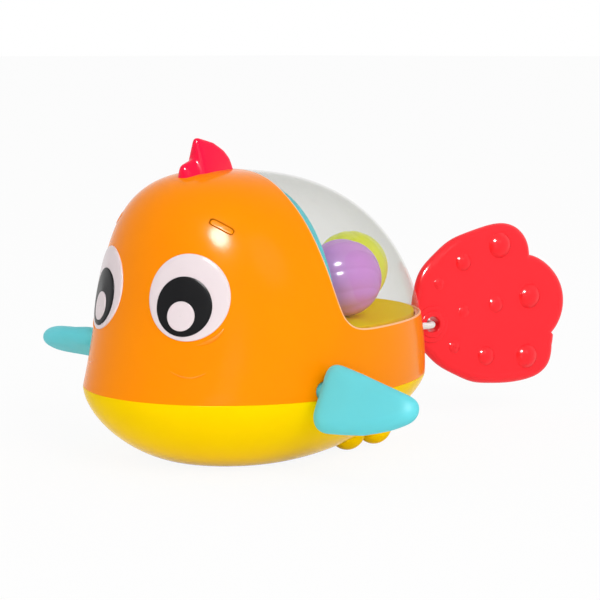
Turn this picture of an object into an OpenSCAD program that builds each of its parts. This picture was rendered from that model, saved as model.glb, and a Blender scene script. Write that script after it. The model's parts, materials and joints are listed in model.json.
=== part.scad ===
// Fish bath toy: shell, hull and clear dome round a pull-cord drive for two paddle fins.
// Nose towards -Y, fish's left towards +X, flat base on Z = 0.

/* [Body] */
// Width of the body at the seam
body_w = 104; // [90:1:140]
// Body axis to the nose, at the seam
nose_len = 58; // [50:1:75]
// Body axis to the rear, at the seam
rear_len = 76; // [70:1:95]
// Depth of the hull below the seam
hull_depth = 26; // [24:1:32]
// Height of the crown above the seam
crown_h = 74; // [66:1:95]
// Shift of the crown towards the nose
crown_lean = 9.5; // [4:0.5:14]
// How far the face is drawn in at mid height
face_draw = 7.3; // [0:0.1:9]
// Shift of the flat base towards the nose
base_shift = 4; // [0:0.5:6]
// Wall of the shell, hull and dome
wall = 2.2; // [1.8:0.1:2.8]
// Height of the lip inside the seam
lip_h = 3; // [2:0.5:5]
// Thickness of the inner lips at the seam and the dome
lip_t = 1.2; // [0.8:0.1:1.6]

/* [Eyes] */
// Diameter of the white of an eye
eye_d = 28.8; // [22:0.2:31]
// Diameter of the pupil
pupil_d = 19.8; // [14:0.2:21]
// Diameter of the glint
glint_d = 9.8; // [5:0.2:11]
// Pupil's drop below the middle of the eye
pupil_drop = 3.1; // [0:0.1:4]
// Glint's drop below the middle of the eye
glint_drop = 6.3; // [2:0.1:7]
// Thickness of the white and of its seat
eye_t = 1.1; // [0.8:0.1:1.4]
// Thickness of the pupil
pupil_t = 0.5; // [0.3:0.1:0.8]

/* [Crest] */
// Length of the crest along the head
crest_len = 23.6; // [18:0.2:28]
// Width of the crest at its base
crest_w = 12.4; // [9:0.2:16]
// Height of the crest above the crown
crest_h = 11.1; // [7:0.1:16]

/* [Fins] */
// Fin axis in front of the body axis
fin_fore = 11; // [6:0.5:14]
// Fin axis above the seam
fin_up = 3; // [2:0.5:5]
// Diameter of a fin's hub
hub_d = 8.4; // [7.6:0.2:10]
// Middle of the body to a fin's tip
fin_reach = 95.2; // [84:0.2:110]
// Chord of a fin at its root
fin_chord = 23.2; // [18:0.2:24]
// Thickness of a fin's blade
fin_t = 7.6; // [5:0.2:9]
// Turn of the left fin about its shaft
left_phase = -25; // [-180:5:180]
// Turn of the right fin about its shaft
right_phase = -120; // [-180:5:180]

/* [Tail and cord] */
// Length of the tail plate behind its eyelet
tail_len = 63; // [50:1:75]
// Thickness of the tail plate
tail_t = 5.4; // [4:0.2:6.4]
// Turn of the tail plate about the upright
tail_twist = 18; // [0:1:30]
// Diameter of the eyelet's hole
eyelet_d = 6; // [5:0.2:7]
// Diameter of the cord
cord_d = 2.5; // [2:0.1:3]
// Cord's height above the seam
cord_up = 11.5; // [10:0.5:13]
// Gap from the shell's rear to the middle of the knot
knot_gap = 5.8; // [5:0.2:9]

/* [Drive] */
// Radius of the cord on the full drum
wind_r = 11; // [10:0.5:12]
// Module of the gear teeth
gear_m = 1.5; // [1.4:0.05:1.55]
// Teeth on the drum gear, an even number
drum_teeth = 20; // [18:2:20]
// Teeth on the idler, an even number
idler_teeth = 12; // [12:2:14]
// Teeth on the fin pinion, an even number
pinion_teeth = 14; // [12:2:16]
// Width of the gears
gear_w = 5; // [3:0.5:5.5]
// Diameter of the fin shaft
fin_shaft_d = 5; // [4:0.2:6]
// Diameter of the drum shaft and the idler axle
drum_shaft_d = 3; // [2.4:0.2:3.6]
// Thickness of the gear plates
plate_t = 2; // [1.6:0.2:3]
// Gap between the gear plates
plate_gap = 24; // [23:0.5:28]
// Underside of the chassis above the base
chassis_z = 5; // [4.8:0.1:6]
// Thickness of the chassis
chassis_t = 3; // [2:0.2:3.6]

/* [Ball chamber] */
// Diameter of the balls
ball_d = 27; // [20:0.5:27.5]
// Top of the tray above the seam
tray_up = 22.5; // [22:0.5:24]
// Thickness of the tray
tray_t = 2.5; // [2:0.1:3]
// Thickness of the wall in front of the chamber
bulk_t = 3; // [2:0.2:4]

/* [Hidden] */
// Running clearance round a shaft
run = 0.05;
// Clearance of parts that are pressed or glued together
fit = 0.03;
// Clearance of loose neighbours
clear = 0.3;
// Overrun of cuts
over = 6;
// Squareness of the crown and of the hull
crown_power = 2.5;
hull_power = 1.55;
// Share of the seam's outline that the flat base has
base_share = 0.38;
// Points round the body, and rings on its outer and inner faces
body_n = 72;
outer_rings = 11;
inner_rings = 7;
// The dome's edge lies on a flat chart of the upper body, in degrees from the crown to the seam.
// Middle of the dome, its front edge and its lip, as shares of the chart's quarter turn
dome_pole_share = 0.4;
dome_front_share = 0.028;
dome_lip_share = 0.044;
dome_sweep_share = 0.14;
dome_corner_power = 10;
// Dome's lower edge above the seam
dome_up = 21.5;
quarter = 90;
dome_pole = dome_pole_share * quarter;
dome_front = dome_front_share * quarter;
dome_lip = dome_lip_share * quarter;
dome_low = quarter - asin(pow(dome_up / crown_h, crown_power / 2));
// Smallest slope, far limit and small step on that chart, as shares
slope_share = 0.05;
far_share = 10;
step_share = 0.0001;
chart_far = far_share * quarter;
chart_step = step_share * quarter;
// Inner lips, and the inside of the ball chamber
lip_gap = 0.25;
lip_in = wall + lip_gap;
lip_end = lip_in + lip_t;
chamber_in = lip_end + clear;
// Eye's place on the same chart
eye_shares = [0.322, 0.676];
eye_q = quarter * eye_shares;
// Curve of the eye's face
eye_curve = 90;
// Pupil and glint stand this far towards the nose
pupil_side = 1;
glint_side = 1.6;

// Crest's rear end in front of the body axis, and its feet below the crown
crest_back = 4.5;
crest_root = 5.5;
// Ridge of the crest from its peak to the rear, and of its front lobe: place along and height, as shares
crest_ridge_shares = [[0.706, 0.895], [0.416, 0.734], [0.229, 0.503], [0.128, 0.283], [0.058, -0.051]];
crest_lobe_shares = [[0.929, 0.048], [0.75, 0.2]];
// Feet of the crest and of its front lobe: place along and place across, as shares
crest_feet_shares = [[0.708, 0.403], [0.034, 0]];
lobe_feet_shares = [[0.939, 0.202], [0.742, 0.355]];
crest_tip_r = 1.2;
crest_lobe_r = 1.65;

// Places of the shafts, the cord and the tray
fin_y = -fin_fore;
fin_z = hull_depth + fin_up;
cord_z = hull_depth + cord_up;
tray_z = hull_depth + tray_up;
drum_z = cord_z - wind_r;
train_teeth = drum_teeth + 2 * idler_teeth + pinion_teeth;
train_len = gear_m * train_teeth / 2;
drum_y = fin_y + sqrt(pow(train_len, 2) - pow(drum_z - fin_z, 2));
idler_share = (pinion_teeth + idler_teeth) / train_teeth;
idler_y = fin_y + idler_share * (drum_y - fin_y);
idler_z = fin_z + idler_share * (drum_z - fin_z);
train_angle = atan2(drum_z - fin_z, drum_y - fin_y);

// Drum and gears along the shaft
drum_half = 4.5;
flange_t = 1;
flange_up = 2;
flange_r = wind_r + flange_up;
core_drop = 3;
core_r = wind_r - core_drop;
gear_gap = 0.6;
gear_x = drum_half + gear_gap;
shaft_end = 0.8;
// Gear teeth: pressure angle, and depths and play as shares of the module and of the pitch
pressure = 25;
root_share = 1.15;
tip_share = 0.8;
backlash_share = 0.14;
flank_n = 4;

// Gear plates, and the bolts and spacers between them
plate_x = plate_gap / 2;
plate_end = plate_x + plate_t;
chassis_top = chassis_z + chassis_t;
plate_top = tray_z - tray_t;
plate_behind = 17;
plate_ahead = 13;
plate_rear = drum_y + plate_behind;
plate_front = fin_y - plate_ahead;
plate_cut = 14;
bolt_d = 3;
bolt_head_d = 5.6;
bolt_head_t = 1.6;
spacer_d = 6;
bolt_in = 3.6;
bolt_places = [[plate_front + bolt_in, plate_top - bolt_in],
               [plate_rear - bolt_in, plate_top - bolt_in],
               [plate_front + bolt_in, chassis_top + bolt_in]];

// Spring beside the drum, and the post that holds its outer end
spring_gap = 0.8;
spring_x = -plate_x + spring_gap;
spring_w = 5.4;
spring_t = 0.5;
spring_r0 = drum_shaft_d / 2 + spring_gap;
spring_up = 0.4;
spring_r1 = wind_r + spring_up;
spring_turns = 5;
turn_n = 24;
post_d = 2.4;

// Chassis, its bosses, screws and bearing posts, and the ballast under it
chassis_edge = 2;
chassis_half = plate_end + chassis_edge;
chassis_rear = 30;
boss_d = 7;
boss_x = 8.5;
boss_front = -13;
boss_rear = 25;
boss_places = [[boss_x, boss_front], [-boss_x, boss_front], [boss_x, boss_rear], [-boss_x, boss_rear]];
screw_d = 2.4;
screw_head_d = 4.8;
screw_head_t = 1.6;
screw_tip = 1.2;
ballast_d = 24;
ballast_t = 2.4;
ballast_y = 2;
bush_x = 26;
bush_half = 2;
bush_d = 8;
bush_flange_d = 12;
bush_flange_t = 1;
post_half = 7;
post_up = 7;
post_top = fin_z + post_up;

// Fin hub
hub_deep = 7.5;
hub_stand = 4;
hub_cap = 1.5;
hub_play = 1;
hub_in = body_w / 2 - hub_deep;
hub_out = body_w / 2 + hub_stand;
shaft_out = hub_out - hub_cap;
hub_hole_d = hub_d + 2 * hub_play;
// Circles that a fin's leaf outline is drawn round: place out from the hub's face as a share of the
// blade's length, then place up and radius as shares of the chord
leaf_shares = [[0.008, 0.228, 0.155], [0.082, -0.345, 0.276], [0.459, -0.211, 0.353], [0.709, -0.155, 0.284]];
leaf_tip_r = 4.4;
leaf_tip_share = -0.108;
// Leaf's middle off the shaft's axis, as a share of its thickness
leaf_off_share = 0.4;

// Cord, its guide and its loop through the tail's eyelet
grommet_d = 6.2;
grommet_flange_d = 9.6;
grommet_flange_t = 1.4;
grommet_in = 5;
cord_start = 8.6;
knot_d = 4.8;
boss_up = 1.2;
eye_boss_d = 10.4;
ring_up = 0.5;
ring_d = 14;
loop_play = 0.5;
loop_half_n = tail_t / 2 + boss_up + cord_d / 2 + loop_play;
loop_half_u = 6.4;
loop_power = 3;
loop_in = 0.2;
loop_n = 40;
cord_n = 8;
knot_y = rear_at(cord_z) + knot_gap;
knot_u = 2 * loop_half_u - loop_in;
knot_power = 16;
eyelet_at = [knot_u * sin(tail_twist), knot_y + knot_u * cos(tail_twist), cord_z];
// Lobes of the tail plate as circles: place along, place up, radius, all as shares of its length
lobe_shares = [[[0, 0, 0.143], [0.04, 0.244, 0.143], [0.209, 0.375, 0.143], [0.424, 0.435, 0.143],
                [0.514, 0.394, 0.2]],
               [[0, 0, 0.143], [0.65, 0.094, 0.299], [0.695, 0.088, 0.266]],
               [[0, 0, 0.143], [0.145, -0.143, 0.143], [0.35, -0.245, 0.143], [0.575, -0.259, 0.143],
                [0.734, -0.223, 0.159]]];
// Bumps on the tail plate: place along, place up, radius, as shares of its length
bump_shares = [[0.476, 0.456, 0.078], [0.219, 0.365, 0.054], [0.05, 0.242, 0.036],
               [0.694, 0.133, 0.076], [0.453, 0.094, 0.051], [0.224, 0.063, 0.038],
               [0.679, -0.237, 0.076], [0.386, -0.218, 0.06], [0.16, -0.149, 0.038]];

// Balls on the tray: the purple one by shares of the body's half width and rear length, the lime one
// by a share of the half width and a gap to the inside of the dome's rear
purple_shares = [0.519, 0.293];
lime_share = 0.125;
lime_gap = 1.8;
ball_lift = 0.2;
ball_z = tray_z + ball_lift + ball_d / 2;
ball_steps = 18;
lime_y = min([for (k = [0:ball_steps]) let (a = quarter * k / ball_steps)
    rear_at(ball_z + ball_d / 2 * sin(a), wall) - ball_d / 2 * cos(a)]) - lime_gap;
// Wall in front of the balls: its front face, and the steps and last share of its outline
bulk_y = -4.5;
bulk_n = 24;
bulk_last_share = 0.933;

// Feet under the rear of the hull, as shares of the half width and rear length
foot_shares = [[0.44, 0.38], [0.415, 0.58]];
foot_r = 6.5;
foot_rise = 0.3;

$fn = 48;

// Upper body at q, a place in degrees on a flat chart about the crown, moved inwards by inset
function body_at(q, inset = 0) =
    let (t = quarter - min(norm(q), quarter), phi = atan2(q.x, q.y),
         r = pow(cos(t), 2 / crown_power), h = pow(sin(t), 2 / crown_power),
         fore = (nose_len - inset) * r - face_draw * 4 * h * (1 - h),
         reach = cos(phi) > 0 ? fore : (rear_len - inset) * r)
    [(body_w / 2 - inset) * r * sin(phi), -crown_lean * h * h - reach * cos(phi),
     hull_depth + (crown_h - inset) * h];

// Outward direction of the upper body at q
function body_out(q) =
    let (a = body_at(q + [chart_step, 0]) - body_at(q - [chart_step, 0]),
         b = body_at(q + [0, chart_step]) - body_at(q - [0, chart_step]), n = cross(b, a))
    n / norm(n);

// Rear face of the upper body at height z, moved inwards by inset
function rear_at(z, inset = 0) =
    let (h = min((z - hull_depth) / (crown_h - inset), 1))
    (rear_len - inset) * pow(1 - pow(h, crown_power), 1 / crown_power) - crown_lean * h * h;

// Half width of the upper body at height z on a plane behind its axis at y
function half_width_at(y, z, inset) =
    let (h = (z - hull_depth) / (crown_h - inset),
         r = pow(max(1 - pow(h, crown_power), 0), 1 / crown_power),
         dy = y + crown_lean * h * h, reach = (rear_len - inset) * r)
    (body_w / 2 - inset) * r * sqrt(max(1 - pow(dy / max(reach, fit), 2), 0));

// Hull at angle phi from the nose and step t from the seam, in degrees
function hull_at(phi, t, inset = 0) =
    let (r = base_share + (1 - base_share) * pow(cos(t), 2 / hull_power), d = pow(sin(t), 2 / hull_power),
         reach = (cos(phi) > 0 ? nose_len : rear_len) - inset)
    [(body_w / 2 - inset) * r * sin(phi), -base_shift * d - reach * r * cos(phi),
     hull_depth - (hull_depth - inset) * d];

// Chart places round the body: at t from the seam, and on the dome's edge in line with the dome's pole
function seam_q(i, t = 0) = (quarter - t) * [sin(i * 360 / body_n), cos(i * 360 / body_n)];
function pole_q() = [0, -dome_pole];
function edge_q(i, more = 0) =
    let (d = seam_q(i) - pole_q(), u = d / norm(d), slope = u.y - dome_sweep_share * u.x * u.x,
         line = slope > slope_share ? (dome_pole - dome_front) / slope : chart_far,
         ring = dome_pole * u.y + sqrt(pow(dome_pole * u.y, 2) - pow(dome_pole, 2) + pow(dome_low, 2)),
         rho = pow(pow(line, -dome_corner_power) + pow(ring, -dome_corner_power), -1 / dome_corner_power))
    pole_q() + u * (rho + more);
function shell_ring(s, inset, more = 0) =
    [for (i = [0:body_n - 1]) body_at(seam_q(i) * (1 - s) + edge_q(i, more) * s, inset)];
function dome_ring(s, inset, more = 0) =
    [for (i = [0:body_n - 1]) body_at(pole_q() * (1 - s) + edge_q(i, more) * s, inset)];
function hull_ring(t, inset) = [for (i = [0:body_n - 1]) hull_at(i * 360 / body_n, t, inset)];
function lip_ring(t, inset) = [for (i = [0:body_n - 1]) body_at(seam_q(i, t), inset)];

// Triangles between two rings of n points that start at a and at b
function band(n, a, b) =
    [for (i = [0:n - 1], k = [0, 1])
        k == 0 ? [a + i, a + (i + 1) % n, b + (i + 1) % n] : [a + i, b + (i + 1) % n, b + i]];
function flat_list(v) = [for (a = v, b = a) b];

// Closed skin through rings, the last one joined to the first
module ring_loop(rings) {
    n = len(rings[0]);
    count = len(rings);
    polyhedron(flat_list(rings), flat_list([for (j = [0:count - 1]) band(n, j * n, ((j + 1) % count) * n)]));
}

// Closed skin through rings, with a single point before the first and after the last
module ring_caps(first, rings, last) {
    n = len(rings[0]);
    count = len(rings);
    polyhedron(concat(flat_list(rings), [first, last]),
        concat([for (i = [0:n - 1]) [count * n, (i + 1) % n, i]],
               flat_list([for (j = [0:count - 2]) band(n, j * n, (j + 1) * n)]),
               [for (i = [0:n - 1]) [count * n + 1, (count - 1) * n + i, (count - 1) * n + (i + 1) % n]]));
}

// Whole upper body as one solid, with the same skin as the shell and the dome
module crown_solid() {
    ring_caps(body_at(pole_q()),
        concat([for (j = [1:outer_rings - 1]) dome_ring(j / outer_rings, 0)],
               [for (j = [0:outer_rings]) shell_ring(1 - j / outer_rings, 0)]),
        [0, 0, hull_depth]);
}

// Stands children on the upper body at q, their Z outwards and their X down the slope
module on_body(q) {
    n = body_out(q);
    translate(body_at(q)) rotate([0, acos(n.z), atan2(n.y, n.x)]) children();
}

module left_right(side) {
    mirror([side < 0 ? 1 : 0, 0, 0]) children();
}

// Cylinder along X from x0 to x1 at y, z
module x_rod(d, x0, x1, y, z) {
    translate([x0, y, z]) rotate([0, 90, 0]) cylinder(d = d, h = x1 - x0);
}

// Cylinder along Y from y0 to y1 at height z
module y_rod(d, y0, y1, z) {
    translate([0, y0, z]) rotate([-90, 0, 0]) cylinder(d = d, h = y1 - y0);
}

// Box between two corners
module block(low, high) {
    translate(low) cube(high - low);
}

module fin_holes() {
    for (side = [-1, 1]) left_right(side) x_rod(hub_hole_d, hub_in - over, body_w, fin_y, fin_z);
}

// Ball whose face passes up above the seat of the eye
module eye_ball(up) {
    translate([0, 0, -eye_curve - eye_t]) rotate([90, 0, 0]) sphere(r = eye_curve + up, $fn = 96);
}

module eye_rod(d, drop = 0, side = 0) {
    translate([drop, -side, -over]) cylinder(d = d, h = 2 * over);
}

module upper_shell() {
    color("darkorange") difference() {
        ring_loop(concat([for (j = [0:outer_rings]) shell_ring(1 - j / outer_rings, 0)],
                         [for (j = [0:inner_rings]) shell_ring(j / inner_rings, wall, dome_lip)],
                         [shell_ring(1, wall)]));
        fin_holes();
        for (side = [-1, 1]) left_right(side) on_body(eye_q) difference() {
            eye_rod(eye_d + 2 * fit);
            eye_ball(0);
        }
        y_rod(grommet_d + 2 * fit, rear_at(cord_z) - over, rear_at(cord_z) + over, cord_z);
        y_rod(grommet_flange_d + 2 * fit, rear_at(cord_z), rear_at(cord_z) + over, cord_z);
    }
}

module lower_hull() {
    lip_step = asin(pow(lip_h / crown_h, crown_power / 2));
    bowl_rings = outer_rings - 2;
    color("gold") difference() {
        union() {
            ring_caps([0, -base_shift, wall],
                concat([for (j = [inner_rings:-1:1]) hull_ring(quarter * j / inner_rings, wall)],
                       [hull_ring(0, lip_end), lip_ring(lip_step, lip_end), lip_ring(lip_step, lip_in),
                        lip_ring(0, lip_in)],
                       [for (j = [0:bowl_rings]) hull_ring(quarter * j / bowl_rings, 0)]),
                [0, -base_shift, 0]);
            for (p = boss_places) translate([p.x, p.y, wall / 2])
                cylinder(d = boss_d, h = chassis_z - wall / 2);
            for (side = [-1, 1], f = foot_shares) left_right(side)
                translate([f.x * body_w / 2, f.y * rear_len, foot_r + foot_rise]) sphere(r = foot_r);
        }
        fin_holes();
        for (p = boss_places) translate([p.x, p.y, wall]) cylinder(d = screw_d + 2 * fit, h = chassis_z);
    }
}

module clear_dome() {
    cap_rings = outer_rings - 2;
    color("aliceblue", 0.4) ring_caps(body_at(pole_q()),
        concat([for (j = [1:cap_rings]) dome_ring(j / cap_rings, 0, -fit)],
               [dome_ring(1, lip_in, -fit), dome_ring(1, lip_in, dome_lip), dome_ring(1, lip_end, dome_lip),
                dome_ring(1, lip_end, -lip_t)],
               [for (j = [0:inner_rings - 1]) dome_ring(1 - j / inner_rings, wall, -2 * lip_t)]),
        body_at(pole_q(), wall));
}

// Edge of the chamber's front wall at step k from the tray to the top
function bulk_side(k) =
    let (low = asin(pow(tray_up / (crown_h - chamber_in), crown_power / 2)),
         t = low + (bulk_last_share * quarter - low) * k / bulk_n,
         z = hull_depth + (crown_h - chamber_in) * pow(sin(t), 2 / crown_power))
    [half_width_at(bulk_y + bulk_t, z, chamber_in), z];

module chamber_wall() {
    side = [for (k = [0:bulk_n]) bulk_side(k)];
    color("turquoise") translate([0, bulk_y + bulk_t, 0]) rotate([90, 0, 0]) linear_extrude(bulk_t)
        polygon(concat(side, [for (k = [bulk_n:-1:0]) [-side[k].x, side[k].y]]));
}

module ball_tray() {
    h = tray_up / crown_h;
    r = pow(1 - pow(h, crown_power), 1 / crown_power);
    half = (body_w / 2 - chamber_in) * r;
    reach = (rear_len - chamber_in) * r;
    color("gold") translate([0, 0, tray_z - tray_t]) linear_extrude(tray_t)
        polygon(concat([for (i = [0:body_n / 2]) let (a = 360 * i / body_n)
                            [half * cos(a), reach * sin(a) - crown_lean * h * h]],
                       [[-half, bulk_y], [half, bulk_y]]));
}

module crest_ball(along, up, r, across = 0) {
    translate([across, -crest_back - along * crest_len, hull_depth + crown_h + up]) sphere(r = r, $fn = 24);
}

module crest() {
    color("crimson") difference() {
        union() {
            hull() {
                for (s = crest_ridge_shares) crest_ball(s[0], s[1] * crest_h, crest_tip_r);
                for (s = crest_feet_shares, side = [-1, 1])
                    crest_ball(s[0], -crest_root, crest_tip_r, side * s[1] * crest_w);
            }
            hull() {
                for (s = crest_lobe_shares) crest_ball(s[0], s[1] * crest_h, crest_lobe_r);
                for (s = lobe_feet_shares, side = [-1, 1])
                    crest_ball(s[0], -crest_root, crest_tip_r, side * s[1] * crest_w);
            }
        }
        crown_solid();
    }
}

module eye() {
    on_body(eye_q) difference() {
        union() {
            intersection() {
                eye_rod(eye_d);
                eye_ball(eye_t);
            }
            intersection() {
                eye_rod(glint_d, glint_drop, glint_side);
                eye_ball(eye_t + pupil_t);
            }
        }
        eye_ball(0);
    }
}

module pupil() {
    on_body(eye_q) difference() {
        intersection() {
            eye_rod(pupil_d, pupil_drop, pupil_side);
            eye_ball(eye_t + pupil_t);
        }
        eye_ball(eye_t);
        eye_rod(glint_d + 2 * fit, glint_drop, glint_side);
    }
}

module left_eye() {
    color("white") eye();
}

module right_eye() {
    color("white") left_right(-1) eye();
}

module left_pupil() {
    color("black") pupil();
}

module right_pupil() {
    color("black") left_right(-1) pupil();
}

module chassis() {
    arm_low = chassis_top - chassis_t / 2;
    arm_top = chassis_top + chassis_t / 2;
    color("whitesmoke") difference() {
        union() {
            block([-chassis_half, plate_front, chassis_z], [chassis_half, chassis_rear, chassis_top]);
            for (side = [-1, 1]) left_right(side) {
                block([plate_end + clear, fin_y - post_half, arm_low],
                      [bush_x + bush_half, fin_y + post_half, arm_top]);
                block([bush_x - bush_half, fin_y - post_half, arm_low],
                      [bush_x + bush_half, fin_y + post_half, post_top]);
            }
        }
        x_rod(bush_d + 2 * fit, -bush_x - over, bush_x + over, fin_y, fin_z);
        for (p = boss_places) translate([p.x, p.y, 0])
            cylinder(d = screw_d + 2 * fit, h = chassis_top + over);
    }
}

module chassis_screw(p) {
    color("silver") translate([p.x, p.y, 0]) {
        translate([0, 0, wall + screw_tip]) cylinder(d = screw_d, h = chassis_top - wall - screw_tip);
        translate([0, 0, chassis_top]) cylinder(d = screw_head_d, h = screw_head_t);
    }
}

module chassis_screw_1() {
    chassis_screw(boss_places[0]);
}

module chassis_screw_2() {
    chassis_screw(boss_places[1]);
}

module chassis_screw_3() {
    chassis_screw(boss_places[2]);
}

module chassis_screw_4() {
    chassis_screw(boss_places[3]);
}

// Gear plate on the side of x, standing on the chassis and carrying the tray
module gear_plate(side) {
    x = side * (plate_x + plate_t / 2);
    difference() {
        translate([x - plate_t / 2, 0, 0]) rotate([90, 0, 90]) linear_extrude(plate_t)
            polygon([[plate_front, chassis_top], [plate_rear - plate_cut, chassis_top],
                     [plate_rear, chassis_top + plate_cut], [plate_rear, plate_top],
                     [plate_front, plate_top]]);
        x_rod(drum_shaft_d + 2 * run, x - over, x + over, drum_y, drum_z);
        x_rod(drum_shaft_d + 2 * fit, x - over, x + over, idler_y, idler_z);
        x_rod(fin_shaft_d + 2 * run, x - over, x + over, fin_y, fin_z);
        for (p = bolt_places) x_rod(bolt_d + 2 * fit, x - over, x + over, p.x, p.y);
    }
}

module left_gear_plate() {
    color("lightgrey") gear_plate(1);
}

module right_gear_plate() {
    color("lightgrey") {
        gear_plate(-1);
        x_rod(post_d, -plate_x - plate_t / 2, spring_x + spring_w,
              drum_y, drum_z + spring_r1 + spring_t + fit + post_d / 2);
    }
}

module plate_spacer(p) {
    color("whitesmoke") difference() {
        x_rod(spacer_d, -plate_x, plate_x, p.x, p.y);
        x_rod(bolt_d + 2 * fit, -plate_x - over, plate_x + over, p.x, p.y);
    }
}

module plate_spacer_1() {
    plate_spacer(bolt_places[0]);
}

module plate_spacer_2() {
    plate_spacer(bolt_places[1]);
}

module plate_spacer_3() {
    plate_spacer(bolt_places[2]);
}

// Bolt with a round head on the left and a hexagon nut on the right
module plate_bolt(p) {
    color("silver") {
        x_rod(bolt_d, -plate_end - bolt_head_t / 2, plate_end + bolt_head_t / 2, p.x, p.y);
        x_rod(bolt_head_d, plate_end, plate_end + bolt_head_t, p.x, p.y);
        translate([-plate_end - bolt_head_t, p.x, p.y]) rotate([0, 90, 0])
            cylinder(d = bolt_head_d, h = bolt_head_t, $fn = 6);
    }
}

module plate_bolt_1() {
    plate_bolt(bolt_places[0]);
}

module plate_bolt_2() {
    plate_bolt(bolt_places[1]);
}

module plate_bolt_3() {
    plate_bolt(bolt_places[2]);
}

module idler_axle() {
    color("silver") x_rod(drum_shaft_d, -plate_end, plate_end, idler_y, idler_z);
}

// Flat spiral from the shaft out to the post on the right plate
module mainspring() {
    steps = spring_turns * turn_n;
    turns = [for (k = [0:steps]) let (a = 90 - 360 * (steps - k) / turn_n,
                                      r = spring_r0 + (spring_r1 - spring_r0) * k / steps) [a, r]];
    inner = [for (p = turns) p.y * [cos(p.x), sin(p.x)]];
    outer = [for (k = [steps:-1:0]) (turns[k].y + spring_t) * [cos(turns[k].x), sin(turns[k].x)]];
    color("slategrey") translate([spring_x, drum_y, drum_z]) rotate([90, 0, 90])
        linear_extrude(spring_w) polygon(concat(inner, outer));
}

module fin_bush() {
    difference() {
        union() {
            x_rod(bush_d, bush_x - bush_half, bush_x + bush_half, fin_y, fin_z);
            x_rod(bush_flange_d, bush_x + bush_half, bush_x + bush_half + bush_flange_t, fin_y, fin_z);
        }
        x_rod(fin_shaft_d + 2 * run, bush_x - over, bush_x + over, fin_y, fin_z);
    }
}

module left_fin_bush() {
    color("burlywood") fin_bush();
}

module right_fin_bush() {
    color("burlywood") left_right(-1) fin_bush();
}

module cord_grommet() {
    rear = rear_at(cord_z);
    color("white") difference() {
        union() {
            y_rod(grommet_d, rear - grommet_in, rear + grommet_flange_t, cord_z);
            y_rod(grommet_flange_d, rear + fit, rear + grommet_flange_t, cord_z);
        }
        y_rod(cord_d + 2 * clear, rear - grommet_in - over, rear + over, cord_z);
    }
}

module ballast_weight() {
    color("dimgrey") translate([0, ballast_y, wall]) cylinder(d = ballast_d, h = ballast_t);
}

module cord_drum() {
    color("whitesmoke") difference() {
        union() {
            x_rod(2 * core_r, -drum_half, drum_half, drum_y, drum_z);
            for (x = [-drum_half, drum_half - flange_t]) x_rod(2 * flange_r, x, x + flange_t, drum_y, drum_z);
        }
        x_rod(drum_shaft_d + 2 * fit, -drum_half - over, drum_half + over, drum_y, drum_z);
    }
}

module cord_winding() {
    half = drum_half - flange_t - fit;
    color("white") difference() {
        x_rod(2 * wind_r + cord_d, -half, half, drum_y, drum_z);
        x_rod(2 * core_r + 2 * fit, -drum_half - over, drum_half + over, drum_y, drum_z);
    }
}

module drum_shaft() {
    color("silver") x_rod(drum_shaft_d, -plate_end - shaft_end, plate_end + shaft_end, drum_y, drum_z);
}

// Involute angle in degrees
function inv(a) = tan(a) * 180 / PI - a;

// Outline of a gear with a tooth along +X when phase is 0
module gear_outline(teeth, phase) {
    pitch_r = gear_m * teeth / 2;
    base_r = pitch_r * cos(pressure);
    root_r = pitch_r - root_share * gear_m;
    tip_r = pitch_r + tip_share * gear_m;
    low_r = max(base_r, root_r);
    half = 90 / teeth * (1 - backlash_share) + inv(pressure);
    flank = [for (k = [0:flank_n]) let (r = low_r + (tip_r - low_r) * k / flank_n)
        [r, half - inv(acos(min(base_r / r, 1)))]];
    tooth = concat([[root_r, flank[0].y]], flank);
    last = len(tooth) - 1;
    polygon([for (i = [0:teeth - 1], side = [-1, 1], k = [0:last])
        let (p = side < 0 ? tooth[k] : tooth[last - k], a = phase + 360 * i / teeth + side * p.y)
        p.x * [cos(a), sin(a)]]);
}

// Gear on the left of the drum, with its bore
module gear(teeth, phase, y, z, bore_d) {
    difference() {
        translate([gear_x, y, z]) rotate([90, 0, 90]) linear_extrude(gear_w)
            gear_outline(teeth, train_angle + phase);
        x_rod(bore_d, gear_x - over, gear_x + gear_w + over, y, z);
    }
}

module drum_gear() {
    color("ivory") gear(drum_teeth, 0, drum_y, drum_z, drum_shaft_d + 2 * fit);
}

module idler_gear() {
    color("ivory") gear(idler_teeth, 180 / idler_teeth, idler_y, idler_z, drum_shaft_d + 2 * run);
}

module fin_pinion() {
    color("ivory") gear(pinion_teeth, 0, fin_y, fin_z, fin_shaft_d + 2 * fit);
}

module fin_shaft() {
    color("silver") x_rod(fin_shaft_d, -shaft_out, shaft_out, fin_y, fin_z);
}

// Leaf outline of a blade, X outwards and Y up, drawn in by inset
module blade_outline(inset) {
    hull() {
        for (c = leaf_shares) translate([hub_out + c.x * (fin_reach - hub_out), c.y * fin_chord])
            circle(r = c.z * fin_chord - inset, $fn = 40);
        translate([fin_reach - leaf_tip_r, leaf_tip_share * fin_chord])
            circle(r = leaf_tip_r - inset, $fn = 40);
    }
}

// Fin on the left, turned about its shaft
module fin(phase) {
    translate([0, fin_y, fin_z]) rotate([phase, 0, 0]) difference() {
        union() {
            translate([0, -leaf_off_share * fin_t, 0]) hull() {
                rotate([90, 0, 0]) linear_extrude(fin_t / 2, center = true) blade_outline(0);
                rotate([90, 0, 0]) linear_extrude(fin_t, center = true) blade_outline(fin_t / 4);
            }
            x_rod(hub_d, hub_in, hub_out, 0, 0);
        }
        x_rod(fin_shaft_d + 2 * fit, hub_in - over, shaft_out + fit, 0, 0);
    }
}

module left_fin() {
    color("turquoise") fin(left_phase);
}

module right_fin() {
    color("turquoise") left_right(-1) fin(right_phase);
}

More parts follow.
